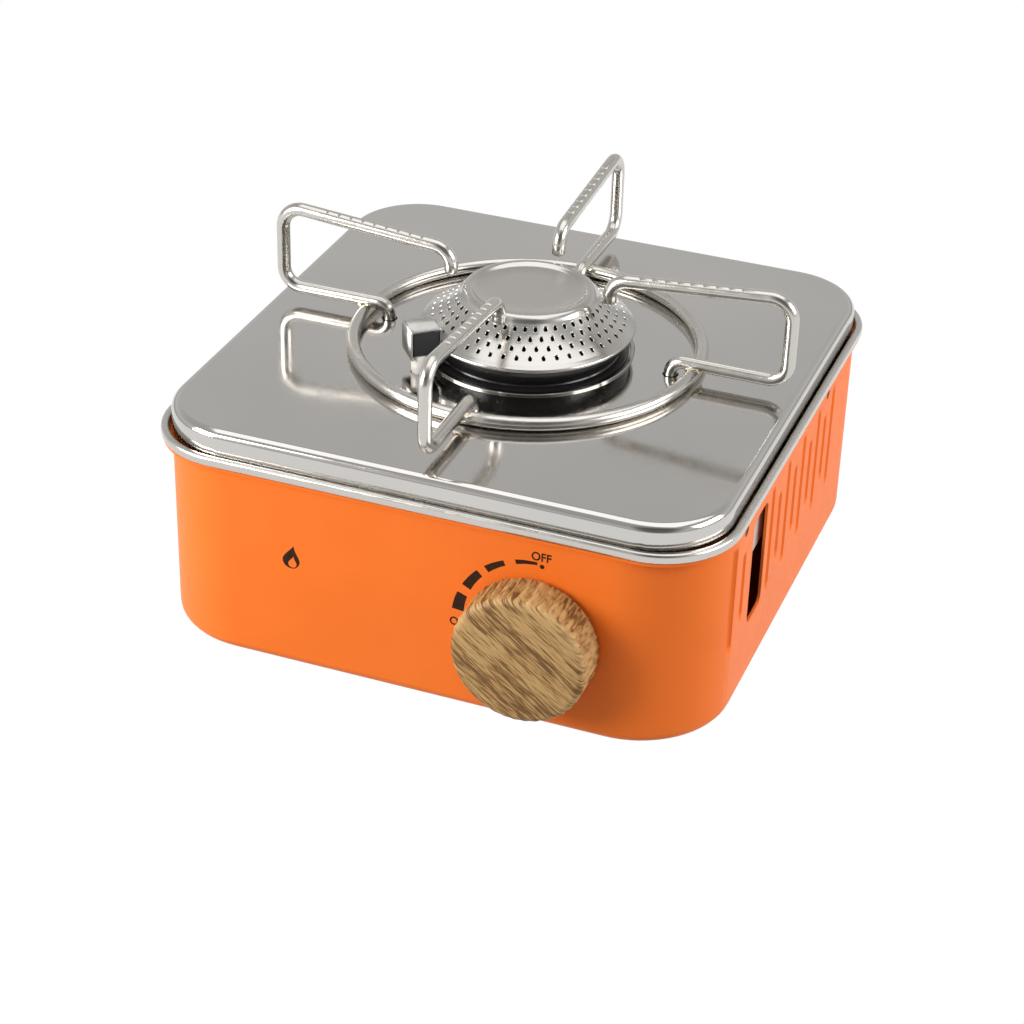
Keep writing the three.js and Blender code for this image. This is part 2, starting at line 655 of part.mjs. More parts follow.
const crown = plateTop + capTop;
const cap = turned([
  [0, crown - 0.8], [capTopRadius - 3, crown - 0.6], [capTopRadius - 1, crown], [capTopRadius, crown - 0.2],
  [capTopRadius + 2.6, crown - 2.6], [capRadius - 1.6, rimLevel + 1.2], [capRadius, rimLevel + 0.5],
  [capRadius, rimLevel - 0.4], [capRadius - capSheet, rimLevel - 0.8], [capRadius - 1 - capSheet, rimLevel],
  [capTopRadius + 2, crown - 3.6], [capTopRadius - 0.6, crown - 1.4], [capTopRadius - 3, crown - 1.8],
  [0, crown - 2]].reverse(), 36);
add(body, 'burner_cap', cap, stainless());

// Strap under the lid that carries the bowl's neck.
const strapReach = bowlFoot + 6.6;
const strapFlange = hookRadius - wireRadius - gap - strapReach;
const strapSide = neckInner + neckWall + 4;
const strapLow = neckTop - 4;
const strapParts = [-1, 1].flatMap((side) => {
  const across = (x0, x1) => [Math.min(side * x0, side * x1), Math.max(side * x0, side * x1)];
  const [wallLeft, wallRight] = across(strapReach, strapReach + bracketSheet);
  const [tabLeft, tabRight] = across(strapReach, strapReach + strapFlange);
  const high = plateLow - rest;
  return [
    box([wallLeft, -strapSide, strapLow], [wallRight, strapSide, high]),
    box([tabLeft, -strapSide, high - bracketSheet], [tabRight, strapSide, high])];
});
const strapEnd = strapReach + bracketSheet;
const strapBase = box([-strapEnd, -strapSide, strapLow - bracketSheet], [strapEnd, strapSide, strapLow]);
const strapHole = rod(neckInner + neckWall + gap, strapLow - 5, strapLow + 5, 24);
add(body, 'burner_strap', cut(join(strapBase, ...strapParts), strapHole), zincSteel());

// Igniter on the lid, in a group turned towards the burner.
const igniter = new THREE.Group();
igniter.position.set(hoodSpot.x, hoodSpot.y, plateTop);
igniter.rotation.z = THREE.MathUtils.degToRad(hoodTurn);
body.add(igniter);
const [hoodX, hoodY] = [hoodLength / 2, hoodWidth / 2];
const hoodTop = hoodBase + hoodHeight;
const hoodBlock = box([-hoodX, -hoodY, hoodBase], [hoodX, hoodY, hoodTop]);
const hoodHollow = box(
  [hoodSheet - hoodX, -hoodY - 1, hoodBase - 1], [hoodX + 1, hoodY - hoodSheet, hoodTop - hoodSheet]);
const capClear = capRadius + 0.8;
const igniterTurn = THREE.MathUtils.degToRad(hoodTurn);
const burnerSpot = hoodSpot.clone().negate().rotateAround(new THREE.Vector2(), -igniterTurn);
const capEnvelope = turned([
  [0, 0], [capClear, 0], [capClear, capBase + 1.6], [capTopRadius + 3, capTop], [0, capTop]], 48)
  .translate(burnerSpot.x, burnerSpot.y, 0);
add(igniter, 'igniter_hood', cut(hoodBlock, hoodHollow, capEnvelope), zincSteel());
const ceramicLow = -10;
const ceramicHigh = hoodTop - hoodSheet - gap;
const ceramicTube = turned([
  [ceramicBore, ceramicLow], [ceramicRadius, ceramicLow], [ceramicRadius, ceramicHigh],
  [ceramicBore, ceramicHigh], [ceramicBore, ceramicLow]], 16);
const sparkLevel = hoodBase + 6.5;
const sparkSlot = box([0, -electrodeRadius - gap, sparkLevel - 1.5], [10, electrodeRadius + gap, hoodTop]);
const insulator = cut(ceramicTube, sparkSlot).translate(-ceramicOut, -ceramicAside, 0);
add(igniter, 'igniter_insulator', insulator, ceramic());

// Electrode: up the bore of the insulator, then bent towards the cap.
const sparkTip = hoodX + gap;
const electrodeStart = ceramicLow + 1;
const electrodeBend = 1.2;
const electrode = sweep(polygon(electrodeRadius, 8), bentPath([
  new THREE.Vector3(-ceramicOut, -ceramicAside, electrodeStart),
  new THREE.Vector3(-ceramicOut, -ceramicAside, sparkLevel),
  new THREE.Vector3(sparkTip, -ceramicAside, sparkLevel),
], [electrodeBend]), 16);
add(igniter, 'igniter_electrode', electrode, zincSteel());

// Lead from the press igniter up to the foot of the electrode.
const leadRadius = 1.1;
const leadStart = new THREE.Vector3(knobX + piezoRight - piezoLength - gap, frontWall - camMiddle, knobAxis);
const leadEnd = new THREE.Vector3(ceramicSpot.x, ceramicSpot.y, plateTop + ceramicLow - gap);
const leadPath = new THREE.CatmullRomCurve3([
  leadStart,
  leadStart.clone().add(new THREE.Vector3(-8, 0, 0)),
  new THREE.Vector3(leadEnd.x - 2, leadStart.y + 10, knobAxis + 4),
  new THREE.Vector3(leadEnd.x - 1, leadEnd.y - 16, leadEnd.z - 16),
  leadEnd.clone().add(new THREE.Vector3(0, 0, -6)),
  leadEnd,
]);
add(body, 'igniter_lead', sweep(polygon(leadRadius, 8), leadPath, 20), blackPlastic());

// Pot support: the ring lies on the lid, and each leg hooks through a hole in it.
const wireSides = 8;
const wireFlat = Math.cos(Math.PI / wireSides);
const wireShape = polygon(wireRadius / wireFlat, wireSides);
const clearShape = polygon((wireRadius + gap) / wireFlat, wireSides);

// A hoop of a wire's outline, lying at the ring's level.
function hoop(shape) {
  const outline = shape.getPoints().slice(0, wireSides).map((point) => [point.x + ringRadius, point.y]);
  return turned([...outline, outline[0]], 36).translate(0, 0, ringLevel + rest);
}
add(body, 'pot_support_ring', hoop(wireShape), polishedWire());

// Each leg has a saddle where it is welded down onto the ring.
const legTop = plateTop + legHeight;
const innerTop = legTop - legSlope * (legReach - tipRadius);
const legPoints = [
  [tipRadius, plateTop + tipHeight], [tipRadius, innerTop], [legReach, legTop], [legReach, barLevel],
  [hookRadius, barLevel], [hookRadius, plateTop - hookDepth]].map(([r, z]) => new THREE.Vector3(r, 0, z));
const legPath = bentPath(legPoints, [legBend, legBend, legBend, hookBend]);
const leg = cut(sweep(wireShape, legPath, 40), hoop(clearShape));
hookSpots.forEach((angle, i) => {
  add(body, `pot_support_leg_${i + 1}`, leg, polishedWire()).rotation.z = angle;
});

// The frame's origin is under the middle of everything, knob included.
const frontmost = frontWall - knobGap - knobLength;
body.position.y = -(rimDepth / 2 + frontmost) / 2;

export default stove;
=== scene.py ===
"""A square camping stove with an orange case, a stainless lid, a lift-off pot support and a wooden knob.

Meshes are modelled in millimetres and scaled to metres when each piece is finished.
"""
import math

import bmesh
import bpy
from mathutils import Matrix, Vector, noise


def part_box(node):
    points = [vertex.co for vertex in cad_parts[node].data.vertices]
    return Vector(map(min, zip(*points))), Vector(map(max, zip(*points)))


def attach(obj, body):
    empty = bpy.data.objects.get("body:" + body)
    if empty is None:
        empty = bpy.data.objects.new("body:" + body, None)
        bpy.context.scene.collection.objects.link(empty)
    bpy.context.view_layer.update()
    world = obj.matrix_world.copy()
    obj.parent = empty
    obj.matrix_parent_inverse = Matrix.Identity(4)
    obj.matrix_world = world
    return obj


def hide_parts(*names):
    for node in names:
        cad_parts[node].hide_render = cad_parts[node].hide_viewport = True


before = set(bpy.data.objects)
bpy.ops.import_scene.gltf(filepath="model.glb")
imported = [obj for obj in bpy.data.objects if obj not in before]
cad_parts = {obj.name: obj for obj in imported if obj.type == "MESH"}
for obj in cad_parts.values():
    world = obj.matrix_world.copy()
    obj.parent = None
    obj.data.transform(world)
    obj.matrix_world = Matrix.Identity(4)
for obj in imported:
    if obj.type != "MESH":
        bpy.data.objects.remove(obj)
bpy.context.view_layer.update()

# Camera: a long lens in front of the stove and to its right, looking down on it, with a slight tilt.
camera_turn = math.radians(20.122)
camera_rise = math.radians(31.091)
camera_roll = math.radians(1.744)
camera_back = Vector((
    math.sin(camera_turn) * math.cos(camera_rise),
    -math.cos(camera_turn) * math.cos(camera_rise),
    math.sin(camera_rise)))
camera_right = Vector((math.cos(camera_turn), math.sin(camera_turn), 0))
camera_up = camera_back.cross(camera_right)
camera_axes = Matrix((camera_right, camera_up, camera_back)).transposed() @ Matrix.Rotation(camera_roll, 3, "Z")
camera = bpy.data.objects.new("camera", bpy.data.cameras.new("camera"))
camera.data.lens = 89.216
camera.matrix_world = Matrix.Translation((0.251303, -0.688861, 0.4626)) @ camera_axes.to_4x4()
bpy.context.collection.objects.link(camera)
bpy.context.scene.camera = camera
bpy.context.scene.view_settings.view_transform = "Standard"


# Case: one deep-drawn steel tray, painted orange inside and out, turned out at the top to carry the rim.
# Flutes are pressed into both sides, and the right side has a window where the gas coupling goes in.
def corners(node):
    """Lowest and highest corner of a design part, in millimetres."""
    return [Vector(corner) * 1000 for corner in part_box(node)]


def round_cornered(bm, middle, width, depth, corner, level, segments=12):
    """A flat rectangle with round corners, in a fresh bmesh."""
    made = bmesh.ops.create_grid(bm, x_segments=1, y_segments=1, size=0.5)["verts"]
    bmesh.ops.scale(bm, vec=(width, depth, 1), verts=made)
    bmesh.ops.bevel(
        bm, geom=bm.verts[:], offset=corner, segments=segments, profile=0.5, affect="VERTICES", material=-1)
    bmesh.ops.translate(bm, vec=(middle.x, middle.y, level), verts=bm.verts[:])


def recorner(points, middle, size, corner, new_size, new_corner):
    """Moves points from one round-cornered outline to the same places on another."""
    for point in points:
        side_x = 1 if point.co.x > middle.x else -1
        side_y = 1 if point.co.y > middle.y else -1
        old = middle.x + side_x * (size[0] / 2 - corner), middle.y + side_y * (size[1] / 2 - corner)
        new = middle.x + side_x * (new_size[0] / 2 - new_corner), middle.y + side_y * (new_size[1] / 2 - new_corner)
        point.co.x = new[0] + (point.co.x - old[0]) * new_corner / corner
        point.co.y = new[1] + (point.co.y - old[1]) * new_corner / corner


def raised(bm, faces, lift):
    """Extrudes faces by a vector, and gives back the faces and points at the far end."""
    made = bmesh.ops.extrude_face_region(bm, geom=faces)["geom"]
    points = [item for item in made if isinstance(item, bmesh.types.BMVert)]
    bmesh.ops.translate(bm, vec=lift, verts=points)
    return [item for item in made if isinstance(item, bmesh.types.BMFace)], points


def rod(bm, start, end, radius, segments=32):
    """A closed round bar between two points."""
    along = Vector(end) - Vector(start)
    place = Matrix.Translation((Vector(start) + Vector(end)) / 2) @ along.to_track_quat("Z", "Y").to_matrix().to_4x4()
    bmesh.ops.create_cone(
        bm, cap_ends=True, segments=segments, radius1=radius, radius2=radius, depth=along.length, matrix=place)


def face_out(bm):
    """Turns every face outwards, on an open shell too."""
    bmesh.ops.recalc_face_normals(bm, faces=bm.faces[:])
    middle = sum((point.co for point in bm.verts), Vector()) / len(bm.verts)
    if sum((face.calc_center_median() - middle).dot(face.normal) * face.calc_area() for face in bm.faces) < 0:
        bmesh.ops.reverse_faces(bm, faces=bm.faces[:])


def piece(name, bm, material, body="root", crease=35):
    """Finishes a bmesh as a piece that rides on a body: in metres, smooth, with its folds kept crisp."""
    face_out(bm)
    bmesh.ops.scale(bm, vec=(0.001, 0.001, 0.001), verts=bm.verts[:])
    mesh = bpy.data.meshes.new(name)
    bm.to_mesh(mesh)
    bm.free()
    mesh.materials.append(material)
    mesh.shade_smooth()
    mesh.set_sharp_from_angle(angle=math.radians(crease))
    made = bpy.data.objects.new(name, mesh)
    bpy.context.collection.objects.link(made)
    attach(made, body)
    return made


def thicken(made, sheet):
    """Gives an open shell its thickness, inwards."""
    wall = made.modifiers.new("sheet", "SOLIDIFY")
    wall.thickness = sheet / 1000
    wall.offset = -1
    wall.use_even_offset = True


def punch(made, cutter_bm, crease=35):
    """Cuts the closed shapes of a bmesh out of a piece, for good."""
    bmesh.ops.recalc_face_normals(cutter_bm, faces=cutter_bm.faces[:])
    bmesh.ops.scale(cutter_bm, vec=(0.001, 0.001, 0.001), verts=cutter_bm.verts[:])
    cutter_mesh = bpy.data.meshes.new("cutter")
    cutter_bm.to_mesh(cutter_mesh)
    cutter_bm.free()
    cutter = bpy.data.objects.new("cutter", cutter_mesh)
    bpy.context.collection.objects.link(cutter)
    cut = made.modifiers.new("cut", "BOOLEAN")
    cut.operation = "DIFFERENCE"
    cut.solver = "EXACT"
    cut.object = cutter
    shape = bpy.data.meshes.new_from_object(made.evaluated_get(bpy.context.evaluated_depsgraph_get()))
    made.modifiers.clear()
    made.data = shape
    bpy.data.objects.remove(cutter)
    shape.shade_smooth()
    shape.set_sharp_from_angle(angle=math.radians(crease))


def flatten_shading(made):
    """Lets the large flat faces of a piece set the shading at their edges."""
    weight = made.modifiers.new("flat shading", "WEIGHTED_NORMAL")
    weight.keep_sharp = True


def new_finish(name, colour, metallic, roughness):
    """A material with one shader, whose plain values are set on the shader itself."""
    made = bpy.data.materials.new(name)
    made.use_nodes = True
    shader = made.node_tree.nodes["Principled BSDF"]
    shader.inputs["Base Color"].default_value = (*colour, 1)
    shader.inputs["Metallic"].default_value = metallic
    shader.inputs["Roughness"].default_value = roughness
    return made


def grain(material, scale, drawn=(1, 1, 1), detail=3, centre=(0, 0, 0), turn=(0, 0, 0)):
    """A noise on the piece's own coordinates, drawn out along its axes and turned about a centre in metres."""
    nodes, links = material.node_tree.nodes, material.node_tree.links
    place = nodes.new("ShaderNodeTexCoord")
    spread = nodes.new("ShaderNodeMapping")
    spread.vector_type = "TEXTURE"
    spread.inputs["Location"].default_value = centre
    spread.inputs["Rotation"].default_value = turn
    spread.inputs["Scale"].default_value = drawn
    texture = nodes.new("ShaderNodeTexNoise")
    texture.inputs["Scale"].default_value = scale
    texture.inputs["Detail"].default_value = detail
    links.new(place.outputs["Object"], spread.inputs["Vector"])
    links.new(spread.outputs["Vector"], texture.inputs["Vector"])
    return texture.outputs["Fac"]


def vary(material, pattern, socket, low, high):
    """Lets a pattern move one of the shader's values between two limits."""
    nodes, links = material.node_tree.nodes, material.node_tree.links
    spread = nodes.new("ShaderNodeMapRange")
    spread.inputs["From Min"].default_value = 0.3
    spread.inputs["From Max"].default_value = 0.7
    spread.inputs["To Min"].default_value = low
    spread.inputs["To Max"].default_value = high
    links.new(pattern, spread.inputs["Value"])
    links.new(spread.outputs["Result"], nodes["Principled BSDF"].inputs[socket])


def tint(material, pattern, *stops):
    """Colours the piece by a pattern, through (place, colour) stops."""
    nodes, links = material.node_tree.nodes, material.node_tree.links
    ramp = nodes.new("ShaderNodeValToRGB")
    for i, (place, colour) in enumerate(stops):
        element = ramp.color_ramp.elements[i] if i < 2 else ramp.color_ramp.elements.new(place)
        element.position = place
        element.color = (*colour, 1)
    links.new(pattern, ramp.inputs["Fac"])
    links.new(ramp.outputs["Color"], nodes["Principled BSDF"].inputs["Base Color"])


def emboss(material, pattern, height, strength=1.0):
    """Raises a pattern by a height in millimetres, on top of any relief that is there."""
    nodes, links = material.node_tree.nodes, material.node_tree.links
    bump = nodes.new("ShaderNodeBump")
    bump.inputs["Strength"].default_value = strength
    bump.inputs["Distance"].default_value = height / 1000
    links.new(pattern, bump.inputs["Height"])
    normal = nodes["Principled BSDF"].inputs["Normal"]
    if normal.is_linked:
        links.new(normal.links[0].from_socket, bump.inputs["Normal"])
    links.new(bump.outputs["Normal"], normal)


orange_paint = new_finish("orange_paint", (0.92, 0.183, 0.02), 0.0, 0.45)
orange_paint.node_tree.nodes["Principled BSDF"].inputs["Specular IOR Level"].default_value = 0.22
tint(orange_paint, grain(orange_paint, 40, detail=2), (0.3, (0.91, 0.181, 0.019)), (0.7, (0.95, 0.193, 0.022)))
vary(orange_paint, grain(orange_paint, 300), "Roughness", 0.41, 0.49)
emboss(orange_paint, grain(orange_paint, 900, detail=2), 0.02, 0.35)

case_low, case_high = corners("case_shell")
rim_low, rim_high = corners("rim_bead")
case_middle = (case_low + case_high) / 2
wall_inset = 1.5
wall_corner = 31
rim_corner = 26.5
flange_inset = 0.6
case_fillet = 4
case_sheet = 0.9
wall_size = (rim_high.x - rim_low.x - 2 * wall_inset, rim_high.y - rim_low.y - 2 * wall_inset)
flange_size = (rim_high.x - rim_low.x - 2 * flange_inset, rim_high.y - rim_low.y - 2 * flange_inset)
front_wall = rim_low.y + wall_inset
right_wall = rim_high.x - wall_inset

flute_pitch = 9.05
flute_half = 1.8
flute_depth = 1.1
flute_long = (26.5, 63.5)
flute_short = (33.0, 57.0)
flutes_front = [case_middle.y - 59 - i * 1.04 * flute_pitch for i in range(2)]
flutes_back = [case_middle.y + 43.9 - i * flute_pitch for i in range(9)]
right_flutes = [(y, flute_long if i % 2 == 0 else flute_short) for i, y in enumerate(flutes_back)]
right_flutes += [(y, flute_long if i == 1 else flute_short) for i, y in enumerate(flutes_front)]
left_flutes = [(case_middle.y + 43.9 - i * flute_pitch, flute_long if i % 2 == 0 else flute_short) for i in range(11)]


def press_flutes(bm, side, flutes):
    """Cuts a side wall finely round each flute and presses the points in, deepest along its middle."""
    across = [y + step * flute_half for y, _ in flutes for step in (-1, -0.8, -0.55, -0.28, 0, 0.28, 0.55, 0.8, 1)]
    levels = [z + step * flute_half for z in (*flute_long, *flute_short) for step in (-1, -0.6, -0.2, 0.2, 0.6, 1)]
    planes = [((0, 0, z), (0, 0, 1)) for z in levels] + [((0, y, 0), (0, 1, 0)) for y in across]
    for spot, direction in planes:
        bm.normal_update()
        wall = [face for face in bm.faces if face.normal.x * side > 0.98]
        touched = {item for face in wall for item in (*face.edges, *face.verts)}
        bmesh.ops.bisect_plane(bm, geom=[*wall, *touched], plane_co=spot, plane_no=direction, dist=0.001)
    bm.normal_update()
    wall_points = {point for face in bm.faces if face.normal.x * side > 0.98 for point in face.verts}
    for point in wall_points:
        for y, (low, high) in flutes:
            nearest = min(max(point.co.z, low + flute_half), high - flute_half)
            away = math.hypot(point.co.y - y, point.co.z - nearest) / flute_half
            if away < 1:
                point.co.x -= side * flute_depth * (1 - away ** 3)


bm = bmesh.new()
round_cornered(bm, case_middle, *wall_size, wall_corner, case_low.z, 16)
top_faces, _ = raised(bm, bm.faces[:], (0, 0, case_high.z - case_low.z - case_sheet))
top_faces, top_points = raised(bm, top_faces, (0, 0, 0))
recorner(top_points, case_middle, wall_size, wall_corner, flange_size, rim_corner - flange_inset)
across = [face for face in bm.faces if len(face.verts) > 8 and face.calc_center_median().z > case_low.z + 1]
bmesh.ops.delete(bm, geom=across, context="FACES_ONLY")
floor_edges = [edge for edge in bm.edges if all(point.co.z < case_low.z + 0.1 for point in edge.verts)]
face_out(bm)
bmesh.ops.bevel(
    bm, geom=floor_edges, offset=case_fillet, segments=6, profile=0.5, affect="EDGES", material=-1)
press_flutes(bm, 1, right_flutes)
press_flutes(bm, -1, left_flutes)
case = piece("case", bm, orange_paint)
thicken(case, case_sheet)

window_low = Vector((0, case_middle.y - 50.05, 25.4))
window_high = Vector((0, case_middle.y - 34.55, 62.9))
window_corner = 3
knob_low, knob_high = corners("control_knob")
knob_middle = (knob_low + knob_high) / 2
screw_boxes = [corners(f"side_screw_{i}") for i in range(1, 5)]
holes = bmesh.new()
round_cornered(
    holes, Vector((-(window_low.z + window_high.z) / 2, (window_low.y + window_high.y) / 2)),
    window_high.z - window_low.z, window_high.y - window_low.y, window_corner, right_wall - 5, 5)
raised(holes, holes.faces[:], (0, 0, 10))
bmesh.ops.rotate(holes, cent=(0, 0, 0), matrix=Matrix.Rotation(math.radians(90), 3, "Y"), verts=holes.verts[:])
shaft_hole = 6
rod(holes, (knob_middle.x, front_wall - 4, knob_middle.z), (knob_middle.x, front_wall + 6, knob_middle.z), shaft_hole)
for low, high in screw_boxes:
    spot = (low + high) / 2
    rod(holes, (spot.x - 6, spot.y, spot.z), (spot.x + 6, spot.y, spot.z), (high.z - low.z) / 2 + 0.1, 24)
foot_boxes = [corners(f"foot_{i}") for i in range(1, 5)]
for low, high in foot_boxes:
    spot = (low + high) / 2
    rod(holes, (spot.x, spot.y, case_low.z - 2), (spot.x, spot.y, case_low.z + 3), 3, 24)
for i in (1, 2):
    low, high = corners(f"bracket_screw_{i}")
    spot = (low + high) / 2
    rod(holes, (spot.x, spot.y, case_low.z - 2), (spot.x, spot.y, case_low.z + 3), 2.2, 24)
punch(case, holes)
slots = bmesh.new()
slot_length, slot_width = 34, 4
for i in range(-2, 3):
    slot = bmesh.new()
    round_cornered(slot, Vector((-knob_middle.x, case_middle.y + i * 2.5 * slot_width)),
                   slot_length, slot_width, slot_width / 2 - 0.01, case_low.z - 2, 6)
    raised(slot, slot.faces[:], (0, 0, 5))
    slot_mesh = bpy.data.meshes.new("slot")
    slot.to_mesh(slot_mesh)
    slot.free()
    slots.from_mesh(slot_mesh)
    bpy.data.meshes.remove(slot_mesh)
punch(case, slots)
flatten_shading(case)
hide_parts("case_shell")


# Dial marks and a small flame sign, printed on the front wall in dark ink.
print_ink = new_finish("print_ink", (0.035, 0.016, 0.008), 0.0, 0.6)
print_ink.node_tree.nodes["Principled BSDF"].inputs["Specular IOR Level"].default_value = 0.08
tint(print_ink, grain(print_ink, 700), (0.3, (0.028, 0.012, 0.006)), (0.7, (0.045, 0.02, 0.011)))
ink_sunk, ink_proud = 0.1, 0.03


def onto_front(bm, x, z):
    """Lays flat shapes drawn about the origin on the front wall, with their middle at x and z."""
    bmesh.ops.translate(bm, vec=(0, 0, -ink_sunk), verts=bm.verts[:])
    raised(bm, bm.faces[:], (0, 0, ink_sunk + ink_proud))
    bmesh.ops.transform(
        bm, matrix=Matrix.Translation((x, front_wall, z)) @ Matrix.Rotation(math.radians(90), 4, "X"),
        verts=bm.verts[:])


dial_x, dial_z = knob_middle.x + 0.5, knob_middle.z + 0.85
mark_radius = 25.4
mark_width = 1.0
mark_growth = 0.0345
mark_spans = [(90.2, 106), (114.6, 130), (136.5, 153), (160, 174)]
bm = bmesh.new()
for start, end in mark_spans:
    inner = bm.verts.new((mark_radius - 1, 0, 0))
    outer = bm.verts.new((mark_radius + 1, 0, 0))
    edge = bm.edges.new((inner, outer))
    bmesh.ops.rotate(bm, cent=(0, 0, 0), matrix=Matrix.Rotation(math.radians(start), 3, "Z"), verts=[inner, outer])
    bmesh.ops.spin(
        bm, geom=[inner, outer, edge], cent=(0, 0, 0), axis=(0, 0, 1), angle=math.radians(end - start), steps=10)
for point in bm.verts:
    angle = math.degrees(math.atan2(point.co.y, point.co.x))
    half = (mark_width + mark_growth * (angle - mark_spans[0][0])) / 2
    side = 1 if point.co.length > mark_radius else -1
    point.co = point.co.normalized() * (mark_radius + side * half)
dot_radius = 0.75
bmesh.ops.create_circle(bm, cap_ends=True, segments=24, radius=dot_radius, matrix=Matrix.Translation((1.4, 24.7, 0)))
onto_front(bm, dial_x, dial_z)
piece("dial_marks", bm, print_ink)


def lettering(name, words, height, squeeze, x, z):
    """Printed words, with capitals of a height, on the front wall."""
    curve = bpy.data.curves.new(name, "FONT")
    curve.body = words
    curve.align_x = "CENTER"
    curve.align_y = "CENTER"
    curve.offset = 0.02
    text = bpy.data.objects.new(name, curve)
    bpy.context.collection.objects.link(text)
    flat = bpy.data.meshes.new_from_object(text.evaluated_get(bpy.context.evaluated_depsgraph_get()))
    bpy.data.objects.remove(text)
    bm = bmesh.new()
    bm.from_mesh(flat)
    bpy.data.meshes.remove(flat)
    tall = max(point.co.y for point in bm.verts) - min(point.co.y for point in bm.verts)
    bmesh.ops.scale(bm, vec=(squeeze * height / tall, height / tall, 1), verts=bm.verts[:])
    onto_front(bm, x, z)
    piece(name, bm, print_ink)


letter_height = 3.0
lettering("dial_word_off", "OFF", letter_height, 0.9, dial_x + 1.1, dial_z + 27.8)
lettering("dial_word_on", "ON", letter_height, 0.9, dial_x - 25.0, dial_z - 1.9)

# The flame sign is a drop with a curled tip, cut open by a smaller drop.
flame_height = 8.5
flame_spot = (case_middle.x - 41.5, 41.4)


def drop(bm, height, shift):
    """A flat drop: a circle whose upper points are drawn up to a leaning tip."""
    made = bmesh.ops.create_circle(bm, cap_ends=True, segments=48, radius=height * 0.34)["verts"]
    for point in made:
        rise = max(0.0, point.co.y / (height * 0.34))
        point.co.x = point.co.x * (1 - rise ** 2.2) + 0.12 * height * rise ** 3
        point.co.y += height * 0.32 * rise ** 2
    bmesh.ops.translate(bm, vec=shift, verts=made)
    return made


bm = bmesh.new()
drop(bm, flame_height, (0, 0, 0))
onto_front(bm, *flame_spot)
flame = piece("flame_sign", bm, print_ink)
bm = bmesh.new()
drop(bm, flame_height * 0.5, (0.05 * flame_height, -flame_height * 0.13, 0))
bmesh.ops.translate(bm, vec=(0, 0, -0.5), verts=bm.verts[:])
raised(bm, bm.faces[:], (0, 0, 1.5))
bmesh.ops.transform(
    bm, matrix=Matrix.Translation((flame_spot[0], front_wall, flame_spot[1]))
    @ Matrix.Rotation(math.radians(90), 4, "X"), verts=bm.verts[:])
punch(flame, bm)


# Rim: the case's top edge is rolled outwards into a bright steel bead.
rim_width = 2.6
rim_edge = 1.15
rim_steel = new_finish("rim_steel", (0.60, 0.575, 0.54), 1.0, 0.26)
vary(rim_steel, grain(rim_steel, 160), "Roughness", 0.2, 0.32)
emboss(rim_steel, grain(rim_steel, 500, detail=4), 0.01, 0.3)
bm = bmesh.new()
rim_middle = (rim_low + rim_high) / 2
rim_size = (rim_high.x - rim_low.x, rim_high.y - rim_low.y)
round_cornered(bm, rim_middle, *rim_size, rim_corner, rim_low.z - 0.05, 16)
inside = bm.faces[:]
bm.normal_update()
bmesh.ops.inset_region(bm, faces=inside, thickness=rim_width, use_even_offset=True, use_boundary=True)
bmesh.ops.delete(bm, geom=inside, context="FACES")
raised(bm, bm.faces[:], (0, 0, rim_high.z - rim_low.z + 0.05))
bmesh.ops.recalc_face_normals(bm, faces=bm.faces[:])
bm.normal_update()
long_edges = [edge for edge in bm.edges if edge.calc_face_angle(0) > 1 and abs(
    edge.verts[0].co.z - edge.verts[1].co.z) < 0.01]
bmesh.ops.bevel(bm, geom=long_edges, offset=rim_edge, segments=5, profile=0.5, affect="EDGES", material=-1)
rim = piece("rolled_rim", bm, rim_steel)
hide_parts("rim_bead")


# Lid: a flat stainless plate with round shoulders, whose skirt drops inside the case wall. The burner,
# the four hooks of the pot support and the igniter's ceramic go through holes in it.
lid_low, lid_high = corners("top_plate")
lid_middle = (lid_low + lid_high) / 2
lid_corner = 25
lid_edge = 3
lid_sheet = 0.8
lid_steel = new_finish("lid_steel", (0.60, 0.585, 0.56), 1.0, 0.1)
vary(lid_steel, grain(lid_steel, 120), "Roughness", 0.08, 0.13)
tint(lid_steel, grain(lid_steel, 18, detail=2), (0.3, (0.585, 0.57, 0.545)), (0.7, (0.62, 0.60, 0.575)))
emboss(lid_steel, grain(lid_steel, 1500, drawn=(1, 50, 50), detail=2), 0.003, 0.08)
lid_size = (lid_high.x - lid_low.x, lid_high.y - lid_low.y)
lid_step = case_high.z + 0.1
step_rise = 0.4
skirt_corner = 29.5
bm = bmesh.new()
round_cornered(bm, lid_middle, *lid_size, skirt_corner, lid_low.z, 16)
lid_bottom = bm.faces[:]
faces, _ = raised(bm, lid_bottom, (0, 0, lid_step - lid_low.z))
faces, points = raised(bm, faces, (0, 0, step_rise))
recorner(points, lid_middle, lid_size, skirt_corner, lid_size, lid_corner)
plate_faces, _ = raised(bm, faces, (0, 0, lid_high.z - lid_step - step_rise))
across = [face for face in bm.faces if len(face.verts) > 8 and face.calc_center_median().z < lid_high.z - 0.1]
bmesh.ops.delete(bm, geom=across, context="FACES_ONLY")
bmesh.ops.recalc_face_normals(bm, faces=bm.faces[:])
shoulder = [edge for edge in bm.edges if all(point.co.z > lid_high.z - 0.01 for point in edge.verts)]
bmesh.ops.bevel(bm, geom=shoulder, offset=lid_edge, segments=8, profile=0.5, affect="EDGES", material=-1)
lid = piece("lid", bm, lid_steel)
thicken(lid, lid_sheet)
bowl_low, bowl_high = corners("burner_bowl")
burner_middle = (bowl_low + bowl_high) / 2
bowl_hole = 29.2
hook_at = 49.2
hook_hole = 2.65
ceramic_low, ceramic_high = corners("igniter_insulator")
ceramic_middle = (ceramic_low + ceramic_high) / 2
ceramic_radius = (ceramic_high.x - ceramic_low.x) / 2
holes = bmesh.new()
